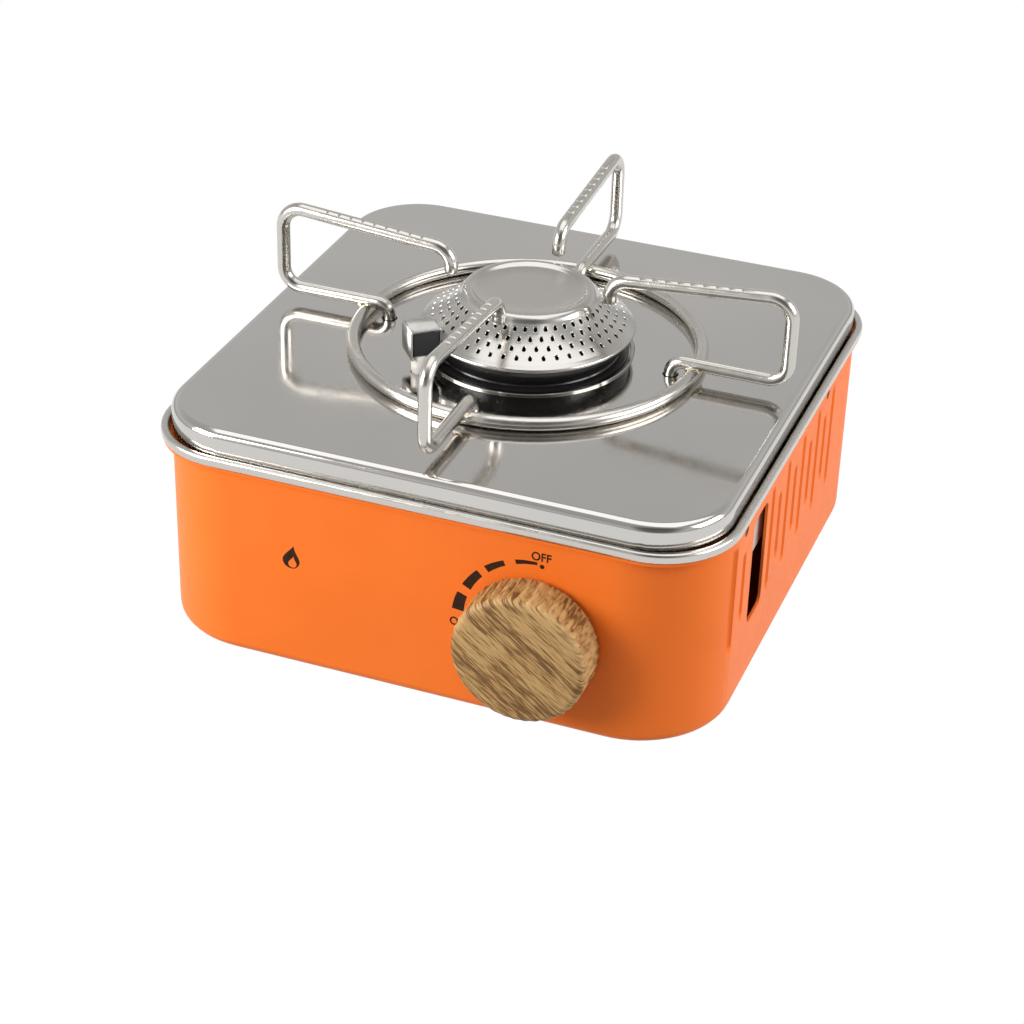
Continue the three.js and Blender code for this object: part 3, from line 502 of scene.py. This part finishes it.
for x, y, radius in (
        (burner_middle.x, burner_middle.y, bowl_hole),
        (ceramic_middle.x, ceramic_middle.y, ceramic_radius + 0.3),
        (burner_middle.x + hook_at, burner_middle.y, hook_hole),
        (burner_middle.x - hook_at, burner_middle.y, hook_hole),
        (burner_middle.x, burner_middle.y + hook_at, hook_hole),
        (burner_middle.x, burner_middle.y - hook_at, hook_hole)):
    rod(holes, (x, y, lid_high.z - 3), (x, y, lid_high.z + 2), radius, 96 if radius == bowl_hole else 32)
for low, high in screw_boxes:
    spot = (low + high) / 2
    rod(holes, (spot.x - 6, spot.y, spot.z), (spot.x + 6, spot.y, spot.z), 1.3, 24)
punch(lid, holes)
flatten_shading(lid)
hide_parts("top_plate")


# Knob: turned wood with a softly rounded front edge and forty finger ridges, pushed on the spindle.
knob_radius = (knob_high.x - knob_low.x) / 2
knob_round = 2.4
knob_ridges = 40
knob_ridge_depth = 1.0
knob_bore = 3.3
knob_bore_depth = 11
spindle_axis = Vector((knob_middle.x, 0, knob_middle.z))
bm = bmesh.new()
front, back = knob_low.y, knob_high.y
profile = [(0, front + 0.0), (knob_radius * 0.35, front + 0.02), (knob_radius * 0.7, front + 0.1)]
profile += [
    (knob_radius - knob_round + knob_round * math.sin(turn), front + 0.25 + knob_round * (1 - math.cos(turn)))
    for turn in [math.radians(90 * step / 7) for step in range(8)]]
profile += [
    (knob_radius, front + 0.25 + knob_round + (back - front - knob_round - 0.85) * step / 6)
    for step in range(1, 7)]
profile += [
    (knob_radius - 0.6, back), (knob_bore, back), (knob_bore, back - knob_bore_depth), (0, back - knob_bore_depth)]
points = [bm.verts.new((knob_middle.x + radius, y, knob_middle.z)) for radius, y in profile]
lines = [bm.edges.new(pair) for pair in zip(points, points[1:])]
bmesh.ops.spin(
    bm, geom=[*points, *lines], cent=spindle_axis, axis=(0, 1, 0), angle=math.tau, steps=knob_ridges * 8, use_merge=True)
bmesh.ops.remove_doubles(bm, verts=bm.verts[:], dist=0.0005)
for point in bm.verts:
    away = Vector((point.co.x - knob_middle.x, point.co.z - knob_middle.z))
    if away.length > knob_radius - knob_round * 0.6 and point.co.y < back - 0.1:
        wave = 0.5 - 0.5 * math.cos(knob_ridges * math.atan2(away.y, away.x))
        fade = min(1.0, max(0.0, (point.co.y - front - 0.6) / 4.5)) ** 0.8
        sink = knob_ridge_depth * wave ** 1.2 * fade
        point.co.x -= away.x / away.length * sink
        point.co.z -= away.y / away.length * sink
knob_wood = new_finish("knob_wood", (0.434, 0.254, 0.091), 0.0, 0.55)
wood_place = dict(centre=knob_middle / 1000, turn=(0, math.radians(37), 0))
bands = grain(knob_wood, 190, drawn=(11, 8, 1), detail=2, **wood_place)
streaks = grain(knob_wood, 2100, drawn=(11, 9, 1), detail=6, **wood_place)
blend = knob_wood.node_tree.nodes.new("ShaderNodeMix")
blend.inputs["Factor"].default_value = 0.6
knob_wood.node_tree.links.new(bands, blend.inputs["A"])
knob_wood.node_tree.links.new(streaks, blend.inputs["B"])
fibres = blend.outputs["Result"]
tint(knob_wood, fibres, (0.43, (0.15, 0.066, 0.012)), (0.49, (0.38, 0.21, 0.068)), (0.56, (0.52, 0.315, 0.12)))
vary(knob_wood, streaks, "Roughness", 0.7, 0.5)
emboss(knob_wood, streaks, 0.12, 0.6)
knob = piece("knob", bm, knob_wood, body="knob", crease=50)
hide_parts("control_knob")


# Burner bowl: a black enamelled pressing that flares from the lid up to the cap, on a bright seat ring.
def turned(bm, profile, middle, steps=96, whole=True):
    """Spins a profile of radius and height round an upright axis, closed on itself."""
    points = [bm.verts.new((middle.x + radius, middle.y, height)) for radius, height in profile]
    lines = [bm.edges.new(pair) for pair in zip(points, points[1:])]
    if whole:
        lines.append(bm.edges.new((points[-1], points[0])))
    bmesh.ops.spin(
        bm, geom=[*points, *lines], cent=(middle.x, middle.y, 0), axis=(0, 0, 1), angle=math.tau, steps=steps,
        use_merge=True)
    bmesh.ops.remove_doubles(bm, verts=bm.verts[:], dist=0.0005)


black_enamel = new_finish("black_enamel", (0.012, 0.011, 0.011), 0.0, 0.16)
vary(black_enamel, grain(black_enamel, 220), "Roughness", 0.12, 0.24)
emboss(black_enamel, grain(black_enamel, 260, detail=2), 0.03, 0.25)
neck_radius = 7.9
neck_top = lid_high.z - 20.3
lid_level = lid_high.z
bowl_foot, bowl_waist = 33.4, 30.4
bowl_lip = (bowl_high.x - bowl_low.x) / 2
bm = bmesh.new()
turned(bm, [
    (neck_radius, bowl_low.z), (neck_radius + 1, bowl_low.z), (neck_radius + 1, neck_top + 2), (16, neck_top + 8),
    (bowl_hole - 0.3, lid_level - 2.8), (bowl_hole - 0.3, lid_level + 0.06), (bowl_foot, lid_level + 0.06),
    (bowl_foot, lid_level + 0.9), (bowl_foot - 0.4, lid_level + 1.06), (bowl_waist + 0.3, lid_level + 1.1),
    (bowl_waist, lid_level + 1.5), (bowl_lip - 0.8, bowl_high.z - 2), (bowl_lip, bowl_high.z),
    (bowl_lip - 1, bowl_high.z), (bowl_lip - 1.6, bowl_high.z - 2), (bowl_hole - 1.3, lid_level + 1),
    (bowl_hole - 1.3, lid_level - 1.8), (15, neck_top + 9.5), (neck_radius, neck_top + 3)], burner_middle)
bowl = piece("burner_bowl_shell", bm, black_enamel)
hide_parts("burner_bowl")

bright_steel = new_finish("bright_steel", (0.42, 0.4, 0.375), 1.0, 0.14)
vary(bright_steel, grain(bright_steel, 200), "Roughness", 0.08, 0.18)
emboss(bright_steel, grain(bright_steel, 300), 0.01, 0.3)
seat_low, seat_high = corners("burner_seat_ring")
seat_outer = (seat_high.x - seat_low.x) / 2
bm = bmesh.new()
turned(bm, [
    (seat_outer - 1.4, seat_low.z), (seat_outer, seat_low.z), (seat_outer, seat_high.z - 0.2),
    (seat_outer - 0.2, seat_high.z), (seat_outer - 1.2, seat_high.z), (seat_outer - 1.4, seat_high.z - 0.2)],
    burner_middle)
seat = piece("seat_ring", bm, bright_steel)
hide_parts("burner_seat_ring")


# Burner cap: a spun stainless cone with four staggered rows of oval flame holes, a rolled rim and a
# dished top.
cap_low, cap_high = corners("burner_cap")
cap_radius = (cap_high.x - cap_low.x) / 2
cap_sheet = 0.6
cap_columns = 92
cap_rows = 4
hole_wide, hole_high = 1.2, 1.85
cone_foot = (cap_radius - 1.3, cap_low.z + 2.2)
cone_head = (22.4, cap_high.z - 1.9)
rows_low, rows_high = 0.07, 0.98


def on_cone(share):
    """A point of the cone's profile, from its foot at 0 to its head at 1, with a slight hollow."""
    radius = cone_foot[0] + (cone_head[0] - cone_foot[0]) * share
    height = cone_foot[1] + (cone_head[1] - cone_foot[1]) * share
    sag = 0.5 * math.sin(math.pi * share)
    return radius - sag * 0.6, height - sag * 0.8


rim_centre = (cap_radius - 0.75, cap_low.z + 0.8)
rim_roll = [
    (rim_centre[0] + 0.75 * math.cos(turn), rim_centre[1] + 0.75 * math.sin(turn))
    for turn in [math.radians(-150 + 225 * step / 9) for step in range(10)]]
cone_line = [on_cone(share) for share in (
    0, 0.035, *[rows_low + (rows_high - rows_low) * row / cap_rows for row in range(cap_rows + 1)], 1)]
dish = [
    (21.9, cap_high.z - 1.2), (21.3, cap_high.z - 0.5), (20.6, cap_high.z - 0.1),
    (19.9, cap_high.z), (19.1, cap_high.z - 0.05), (18.5, cap_high.z - 0.35), (17.9, cap_high.z - 0.8),
    (17.2, cap_high.z - 1.0), (12, cap_high.z - 1.05), (6, cap_high.z - 1.08), (0, cap_high.z - 1.1)]
bm = bmesh.new()
turned(bm, [*rim_roll, *cone_line, *dish], burner_middle, steps=cap_columns, whole=False)
first_row = on_cone(rows_low)[1]
last_row = on_cone(rows_high)[1]
with_holes = []
for face in bm.faces:
    spot = face.calc_center_median() - burner_middle
    height = spot.z + burner_middle.z
    if first_row < height < last_row and math.hypot(spot.x, spot.y) > 22:
        row = sum(height > on_cone(rows_low + (rows_high - rows_low) * step / cap_rows)[1] for step in range(1, cap_rows))
        column = math.floor((math.atan2(spot.y, spot.x) % math.tau) / (math.tau / cap_columns))
        if (row + column) % 2 == 0:
            with_holes.append(face)
for face in with_holes:
    middle = face.calc_center_median()
    spot = middle - burner_middle
    around = Vector((-spot.y, spot.x, 0)).normalized()
    up_cone = face.normal.cross(around).normalized()
    if up_cone.z < 0:
        up_cone.negate()
    inner = bmesh.ops.inset_individual(bm, faces=[face], thickness=0.3)
    rim_points = face.verts[:]
    for point in rim_points:
        offset = point.co - middle
        side = 1 if offset.dot(around) > 0 else -1
        top = 1 if offset.dot(up_cone) > 0 else -1
        point.co = middle + around * side * hole_wide / 2 + up_cone * top * hole_high / 2
    bmesh.ops.bevel(
        bm, geom=rim_points, offset=hole_wide * 0.49, segments=3, profile=0.5, affect="VERTICES", material=-1)
small = [face for face in bm.faces if face.calc_area() < hole_wide * hole_high and len(face.verts) > 12]
bmesh.ops.delete(bm, geom=small, context="FACES")
cap_steel = new_finish("cap_steel", (0.57, 0.55, 0.52), 1.0, 0.2)
vary(cap_steel, grain(cap_steel, 140), "Roughness", 0.16, 0.25)
emboss(cap_steel, grain(cap_steel, 90, detail=1), 0.006, 0.15)
cap = piece("cap", bm, cap_steel, crease=40)
thicken(cap, cap_sheet)
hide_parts("burner_cap")


# Pot support: a polished wire ring with four bent wire legs laid on it and welded where they cross.
# Each leg's top bar has stamped notches that keep a pot from sliding, and its hook goes through the lid.
support_wire = new_finish("support_wire", (0.60, 0.575, 0.535), 1.0, 0.23)
vary(support_wire, grain(support_wire, 220), "Roughness", 0.18, 0.29)
emboss(support_wire, grain(support_wire, 500, detail=4), 0.008, 0.25)
weld_steel = new_finish("weld_steel", (0.62, 0.55, 0.42), 1.0, 0.3)
tint(weld_steel, grain(weld_steel, 500), (0.35, (0.30, 0.23, 0.14)), (0.55, (0.70, 0.63, 0.5)), (0.75, (0.8, 0.76, 0.7)))
vary(weld_steel, grain(weld_steel, 700), "Roughness", 0.15, 0.42)
emboss(weld_steel, grain(weld_steel, 900, detail=4), 0.12, 0.7)
ring_low, ring_high = corners("pot_support_ring")
wire_radius = (ring_high.z - ring_low.z) / 2 + 0.03
ring_radius = (ring_high.x - ring_low.x) / 2 - wire_radius
ring_level = (ring_low.z + ring_high.z) / 2
butt_bearing = math.radians(-77)
wire_sides = 28
bm = bmesh.new()
section = bmesh.ops.create_circle(bm, cap_ends=False, segments=wire_sides, radius=wire_radius)["verts"]
bmesh.ops.rotate(bm, cent=(0, 0, 0), matrix=Matrix.Rotation(math.radians(90), 3, "X"), verts=section)
bmesh.ops.translate(bm, vec=(burner_middle.x + ring_radius, burner_middle.y, ring_level), verts=section)
bmesh.ops.spin(
    bm, geom=[*bm.verts, *bm.edges], cent=(burner_middle.x, burner_middle.y, 0), axis=(0, 0, 1),
    angle=math.tau, steps=240, use_merge=True)
for point in bm.verts:
    away = point.co - burner_middle
    along = (math.atan2(away.y, away.x) - butt_bearing) * ring_radius
    core = Vector((away.x, away.y, 0)).normalized() * ring_radius + Vector((burner_middle.x, burner_middle.y, ring_level))
    swell = 0.16 * math.exp(-(along / 0.9) ** 2) - 0.1 * math.exp(-((abs(along) - 1.9) / 0.7) ** 2)
    swell *= 0.6 + 0.8 * noise.noise(point.co * 0.9)
    point.co += (point.co - core) / wire_radius * min(swell, 0.03 if point.co.z < ring_low.z + 1 else swell)
ring = piece("support_ring", bm, support_wire, body="pot_support")
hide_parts("pot_support_ring")

leg_low, leg_high = corners("pot_support_leg_1")
leg_reach = leg_high.x - wire_radius - burner_middle.x
weld_sink = 1.6
bar_level = ring_level + 2 * wire_radius - weld_sink
leg_slope = math.atan(0.08)
tip_at = 27.3
bar_high = leg_high.z - wire_radius
tip_low = lid_level + 21
hook_low = leg_low.z
notch_first, notch_pitch, notches = 37.5, 4.2, 9
notch_depth, notch_half = 0.5, 0.62


def straight(bm, ring_of_edges, vector, cuts=(1.0,)):
    """Draws the wire's open end along a vector, stopping at each of the cuts (shares of it)."""
    done = 0.0
    for share in cuts:
        made = bmesh.ops.extrude_edge_only(bm, edges=ring_of_edges)["geom"]
        points = [item for item in made if isinstance(item, bmesh.types.BMVert)]
        bmesh.ops.translate(bm, vec=vector * (share - done), verts=points)
        ring_of_edges = [item for item in made if isinstance(item, bmesh.types.BMEdge) and all(
            point in points for point in item.verts)]
        done = share
    return ring_of_edges


def bend(bm, ring_of_edges, centre, angle, steps=10):
    """Bends the wire's open end round a centre, in the leg's plane."""
    points = list({point for edge in ring_of_edges for point in edge.verts})
    made = bmesh.ops.spin(
        bm, geom=[*points, *ring_of_edges], cent=centre, axis=(0, 1, 0), angle=angle, steps=steps)["geom_last"]
    return [item for item in made if isinstance(item, bmesh.types.BMEdge)]


def bent_wire(bm, route, radii):
    """A round wire through route points of reach and height, with a bend of its own radius at each corner."""
    points = [Vector((reach, 0, height)) for reach, height in route]
    ways = [(after - before).normalized() for before, after in zip(points, points[1:])]
    turns = [before.angle(after) for before, after in zip(ways, ways[1:])]
    trims = [0, *[radius * math.tan(turn / 2) for radius, turn in zip(radii, turns)], 0]
    section = bmesh.ops.create_circle(bm, cap_ends=False, segments=wire_sides, radius=wire_radius)["verts"]
    facing = ways[0].to_track_quat("Z", "Y").to_matrix()
    bmesh.ops.rotate(bm, cent=(0, 0, 0), matrix=facing, verts=section)
    bmesh.ops.translate(bm, vec=points[0], verts=section)
    open_end = bm.edges[:]
    for i, way in enumerate(ways):
        length = (points[i + 1] - points[i]).length - trims[i] - trims[i + 1]
        cuts = sorted({1.0, *[
            (notch_first + count * notch_pitch + step * notch_half - points[i].x) / way.x / length - trims[i] / length
            for count in range(notches) for step in (-1, -0.6, -0.3, 0, 0.3, 0.6, 1)]}) if i == 1 else (1.0,)
        open_end = straight(bm, open_end, way * length, cuts)
        if i < len(turns):
            hand = 1 if ways[i].cross(ways[i + 1]).y > 0 else -1
            inward = Vector((way.z, 0, -way.x)) * hand
            start = points[i + 1] - way * trims[i + 1]
            open_end = bend(bm, open_end, start + inward * radii[i], hand * turns[i])
    return open_end


leg_route = [
    (tip_at, tip_low), (tip_at, bar_high - math.tan(leg_slope) * (leg_reach - tip_at)), (leg_reach, bar_high),
    (leg_reach, bar_level), (hook_at, bar_level), (hook_at, hook_low)]
leg_bends = (6.4, 7.0, 6.6, 4.2)
for i in range(4):
    bm = bmesh.new()
    bent_wire(bm, leg_route, leg_bends)
    bmesh.ops.holes_fill(bm, edges=[edge for edge in bm.edges if edge.is_boundary], sides=0)
    bmesh.ops.recalc_face_normals(bm, faces=bm.faces[:])
    ends = [edge for edge in bm.edges if edge.calc_face_angle(0) > 1]
    bmesh.ops.bevel(bm, geom=ends, offset=0.7, segments=3, profile=0.5, affect="EDGES", material=-1)
    for point in bm.verts:
        along = (point.co.x - notch_first) / notch_pitch
        near = min(max(round(along), 0), notches - 1)
        off = abs(along - near) * notch_pitch / notch_half
        crest = leg_route[1][1] + math.tan(leg_slope) * (point.co.x - tip_at)
        if off < 1 and point.co.z > crest:
            ceiling = crest + wire_radius - notch_depth * (0.5 + 0.5 * math.cos(math.pi * off))
            point.co.z = min(point.co.z, ceiling)
    turn = Matrix.Translation((burner_middle.x, burner_middle.y, 0)) @ Matrix.Rotation(i * math.pi / 2, 4, "Z")
    bmesh.ops.transform(bm, matrix=turn, verts=bm.verts[:])
    leg = piece(f"support_leg_{i + 1}", bm, support_wire, body="pot_support", crease=40)
    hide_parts(f"pot_support_leg_{i + 1}")

    bm = bmesh.new()
    bmesh.ops.create_icosphere(bm, subdivisions=4, radius=1)
    for point in bm.verts:
        lump = 1 + 0.22 * noise.noise(point.co * 2.1 + Vector((i * 7.3, 0, 0)))
        point.co = Vector((point.co.x * 3.3, point.co.y * 3.2, point.co.z * 1.5)) * lump
    bmesh.ops.translate(bm, vec=(ring_radius + 0.2, 0, ring_level + wire_radius - weld_sink / 2), verts=bm.verts[:])
    bmesh.ops.transform(bm, matrix=turn, verts=bm.verts[:])
    piece(f"leg_weld_{i + 1}", bm, weld_steel, body="pot_support")


# Igniter on the lid: a bent steel hood over a white ceramic tube, with a near-black block in its open end that paints
# the shade inside the hood.
hood_low, hood_high = corners("igniter_hood")
hood_length, hood_width, hood_height = 10.6, 9.6, hood_high.z - hood_low.z
hood_sheet = 0.7
hood_turn = math.radians(40)
hood_bearing = math.radians(227.8)
hood_away = cap_radius + 3.1
hood_spot = Vector((
    burner_middle.x + hood_away * math.cos(hood_bearing), burner_middle.y + hood_away * math.sin(hood_bearing), 0))
hood_place = Matrix.Translation(hood_spot) @ Matrix.Rotation(hood_turn, 4, "Z")
hood_steel = new_finish("hood_steel", (0.46, 0.45, 0.43), 1.0, 0.3)
vary(hood_steel, grain(hood_steel, 260), "Roughness", 0.24, 0.4)
emboss(hood_steel, grain(hood_steel, 600), 0.02, 0.5)
bm = bmesh.new()
bmesh.ops.create_cube(bm, size=1)
bmesh.ops.scale(bm, vec=(hood_length, hood_width, hood_height), verts=bm.verts[:])
bmesh.ops.translate(bm, vec=(0, 0, hood_low.z + hood_height / 2), verts=bm.verts[:])
bmesh.ops.bevel(
    bm, geom=[edge for edge in bm.edges if abs(edge.verts[0].co.y - edge.verts[1].co.y) > 1],
    offset=1.1, segments=5, profile=0.5, affect="EDGES", material=-1)
open_faces = [face for face in bm.faces if face.normal.y < -0.9 or face.normal.z < -0.9]
bmesh.ops.delete(bm, geom=open_faces, context="FACES")
bmesh.ops.transform(bm, matrix=hood_place, verts=bm.verts[:])
hood = piece("igniter_cover", bm, hood_steel)
thicken(hood, hood_sheet)
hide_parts("igniter_hood")

# A near-black block fills the open hood: painted shade for its shaded inside, not a part of its own.
hood_shade_finish = new_finish("painted_hood_shade", (0.018, 0.018, 0.02), 0.0, 0.5)
vary(hood_shade_finish, grain(hood_shade_finish, 400), "Roughness", 0.4, 0.6)
emboss(hood_shade_finish, grain(hood_shade_finish, 800), 0.03, 0.5)
bm = bmesh.new()
bmesh.ops.create_cube(bm, size=1)
shade_block_inset = 0.25
bmesh.ops.scale(
    bm, vec=(hood_length - 2 * hood_sheet - 0.1, hood_width - hood_sheet - shade_block_inset, hood_height - hood_sheet - 1.2),
    verts=bm.verts[:])
bmesh.ops.translate(
    bm, vec=(0, (shade_block_inset - hood_sheet) / 2, hood_low.z + (hood_height - hood_sheet + 1.2) / 2), verts=bm.verts[:])
bmesh.ops.bevel(bm, geom=bm.edges[:], offset=0.6, segments=3, profile=0.5, affect="EDGES", material=-1)
bmesh.ops.transform(bm, matrix=hood_place, verts=bm.verts[:])
piece("igniter_hood_shade_block", bm, hood_shade_finish)

white_ceramic = new_finish("white_ceramic", (0.80, 0.77, 0.71), 0.0, 0.3)
white_ceramic.node_tree.nodes["Principled BSDF"].inputs["Coat Weight"].default_value = 0.4
tint(white_ceramic, grain(white_ceramic, 300), (0.3, (0.74, 0.70, 0.63)), (0.7, (0.84, 0.81, 0.76)))
emboss(white_ceramic, grain(white_ceramic, 500), 0.02, 0.4)
bm = bmesh.new()
turned(bm, [
    (0.9, ceramic_low.z), (ceramic_radius, ceramic_low.z), (ceramic_radius, lid_level + 0.5),
    (ceramic_radius + 0.2, lid_level + 0.8), (ceramic_radius + 0.2, hood_low.z + 0.9),
    (ceramic_radius, hood_low.z + 1.2), (0.9, hood_low.z + 1.2)], ceramic_middle, steps=40)
ceramic = piece("ceramic_tube", bm, white_ceramic)
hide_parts("igniter_insulator")


# Everything else is on the design's own shapes, each in its own finish.
def plain_metal(name, colour, low, high):
    """A metal with a rolled, slightly uneven surface."""
    made = new_finish(name, colour, 1.0, low)
    vary(made, grain(made, 300), "Roughness", low, high)
    emboss(made, grain(made, 600), 0.02, 0.4)
    return made


zinc_steel = plain_metal("zinc_steel", (0.55, 0.56, 0.57), 0.3, 0.45)
valve_alloy = plain_metal("valve_alloy", (0.45, 0.45, 0.46), 0.4, 0.55)
brass = plain_metal("brass", (0.62, 0.44, 0.16), 0.22, 0.36)
catch_steel = plain_metal("catch_steel", (0.78, 0.76, 0.72), 0.35, 0.5)
catch_steel.node_tree.nodes["Principled BSDF"].inputs["Metallic"].default_value = 0.6
black_plastic = new_finish("black_plastic", (0.02, 0.02, 0.022), 0.0, 0.5)
vary(black_plastic, grain(black_plastic, 500), "Roughness", 0.4, 0.6)
emboss(black_plastic, grain(black_plastic, 900), 0.03, 0.4)
foot_rubber = new_finish("foot_rubber", (0.022, 0.021, 0.02), 0.0, 0.8)
vary(foot_rubber, grain(foot_rubber, 400), "Roughness", 0.7, 0.9)
emboss(foot_rubber, grain(foot_rubber, 700), 0.05, 0.6)
kept = {
    zinc_steel: (
        "knob_spindle", "striker_cam", "valve_bracket", "valve_screw_1", "valve_screw_2", "bracket_screw_1",
        "bracket_screw_2", "bracket_nut_1", "bracket_nut_2", "piezo_plunger", "piezo_clip", "mixing_tube",
        "burner_strap", "igniter_electrode"),
    orange_paint: ("inlet_bracket",),
    valve_alloy: ("valve_body",),
    brass: ("inlet_socket", "inlet_pipe", "jet_nozzle"),
    catch_steel: ("inlet_catch_plate",),
    black_plastic: ("piezo_igniter", "igniter_lead", "side_screw_1", "side_screw_2", "side_screw_3", "side_screw_4"),
    foot_rubber: ("foot_1", "foot_2", "foot_3", "foot_4", "inlet_seal"),
}
for material, names in kept.items():
    for name in names:
        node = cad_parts[name]
        node.data.materials.clear()
        node.data.materials.append(material)

# The floor glows evenly, so that it stays white close to the stove, but lights the walls only a little.
floor_paint = new_finish("floor_paint", (0, 0, 0), 0.0, 1.0)
floor_shader = floor_paint.node_tree.nodes["Principled BSDF"]
floor_shader.inputs["Specular IOR Level"].default_value = 0
floor_shader.inputs["Emission Color"].default_value = (1, 1, 1, 1)
floor_rays = floor_paint.node_tree.nodes.new("ShaderNodeLightPath")
floor_glow = floor_paint.node_tree.nodes.new("ShaderNodeMapRange")
floor_glow.inputs["To Min"].default_value = 1.0
floor_glow.inputs["To Max"].default_value = 0.36
floor_paint.node_tree.links.new(floor_rays.outputs["Is Diffuse Ray"], floor_glow.inputs["Value"])
floor_paint.node_tree.links.new(floor_glow.outputs["Result"], floor_shader.inputs["Emission Strength"])
bm = bmesh.new()
bmesh.ops.create_grid(bm, x_segments=1, y_segments=1, size=6)
floor_mesh = bpy.data.meshes.new("floor")
bm.to_mesh(floor_mesh)
bm.free()
floor_mesh.materials.append(floor_paint)
floor = bpy.data.objects.new("floor", floor_mesh)
bpy.context.collection.objects.link(floor)


def soft_light(name, spot, aim, size, power):
    """A square soft light at a spot, turned to a point."""
    lamp = bpy.data.lights.new(name, "AREA")
    lamp.shape = "RECTANGLE"
    lamp.size, lamp.size_y = size
    lamp.energy = power
    made = bpy.data.objects.new(name, lamp)
    made.location = spot
    made.rotation_euler = (Vector(aim) - Vector(spot)).to_track_quat("-Z", "Y").to_euler()
    bpy.context.collection.objects.link(made)


soft_light("key_light", (-0.5, -0.5, 0.35), (-0.06, -0.08, 0.04), (0.4, 0.4), 5.5)
soft_light("side_light", (0.9, 0.05, 0.5), (0.08, 0, 0.03), (0.7, 0.5), 6)
soft_light("top_light", (0, 0.15, 1.3), (0, 0, 0), (1.4, 1.2), 6)

# The room is brightest above the horizon, and dark round the camera, as bright wire shows it.
world = bpy.data.worlds.new("studio")
world.use_nodes = True
nodes, links = world.node_tree.nodes, world.node_tree.links
direction = nodes.new("ShaderNodeTexCoord").outputs["Generated"]
height = nodes.new("ShaderNodeSeparateXYZ")
links.new(direction, height.inputs["Vector"])
room = nodes.new("ShaderNodeValToRGB")
room_levels = [(0.0, 0.42), (0.3, 0.72), (0.65, 0.52), (1.0, 0.48)]
for i, (place, level) in enumerate(room_levels):
    element = room.color_ramp.elements[i] if i < 2 else room.color_ramp.elements.new(place)
    element.position = place
    element.color = (level, level * 0.995, level * 0.985, 1)
links.new(height.outputs["Z"], room.inputs["Fac"])
towards = nodes.new("ShaderNodeVectorMath")
towards.operation = "DOT_PRODUCT"
towards.inputs[1].default_value = camera_back
links.new(direction, towards.inputs[0])
shade = nodes.new("ShaderNodeMapRange")
shade.inputs["From Min"].default_value = 0.8
shade.inputs["From Max"].default_value = 0.95
shade.inputs["To Min"].default_value = 1
shade.inputs["To Max"].default_value = 0.25
links.new(towards.outputs["Value"], shade.inputs["Value"])
links.new(room.outputs["Color"], nodes["Background"].inputs["Color"])
links.new(shade.outputs["Result"], nodes["Background"].inputs["Strength"])
bpy.context.scene.world = world
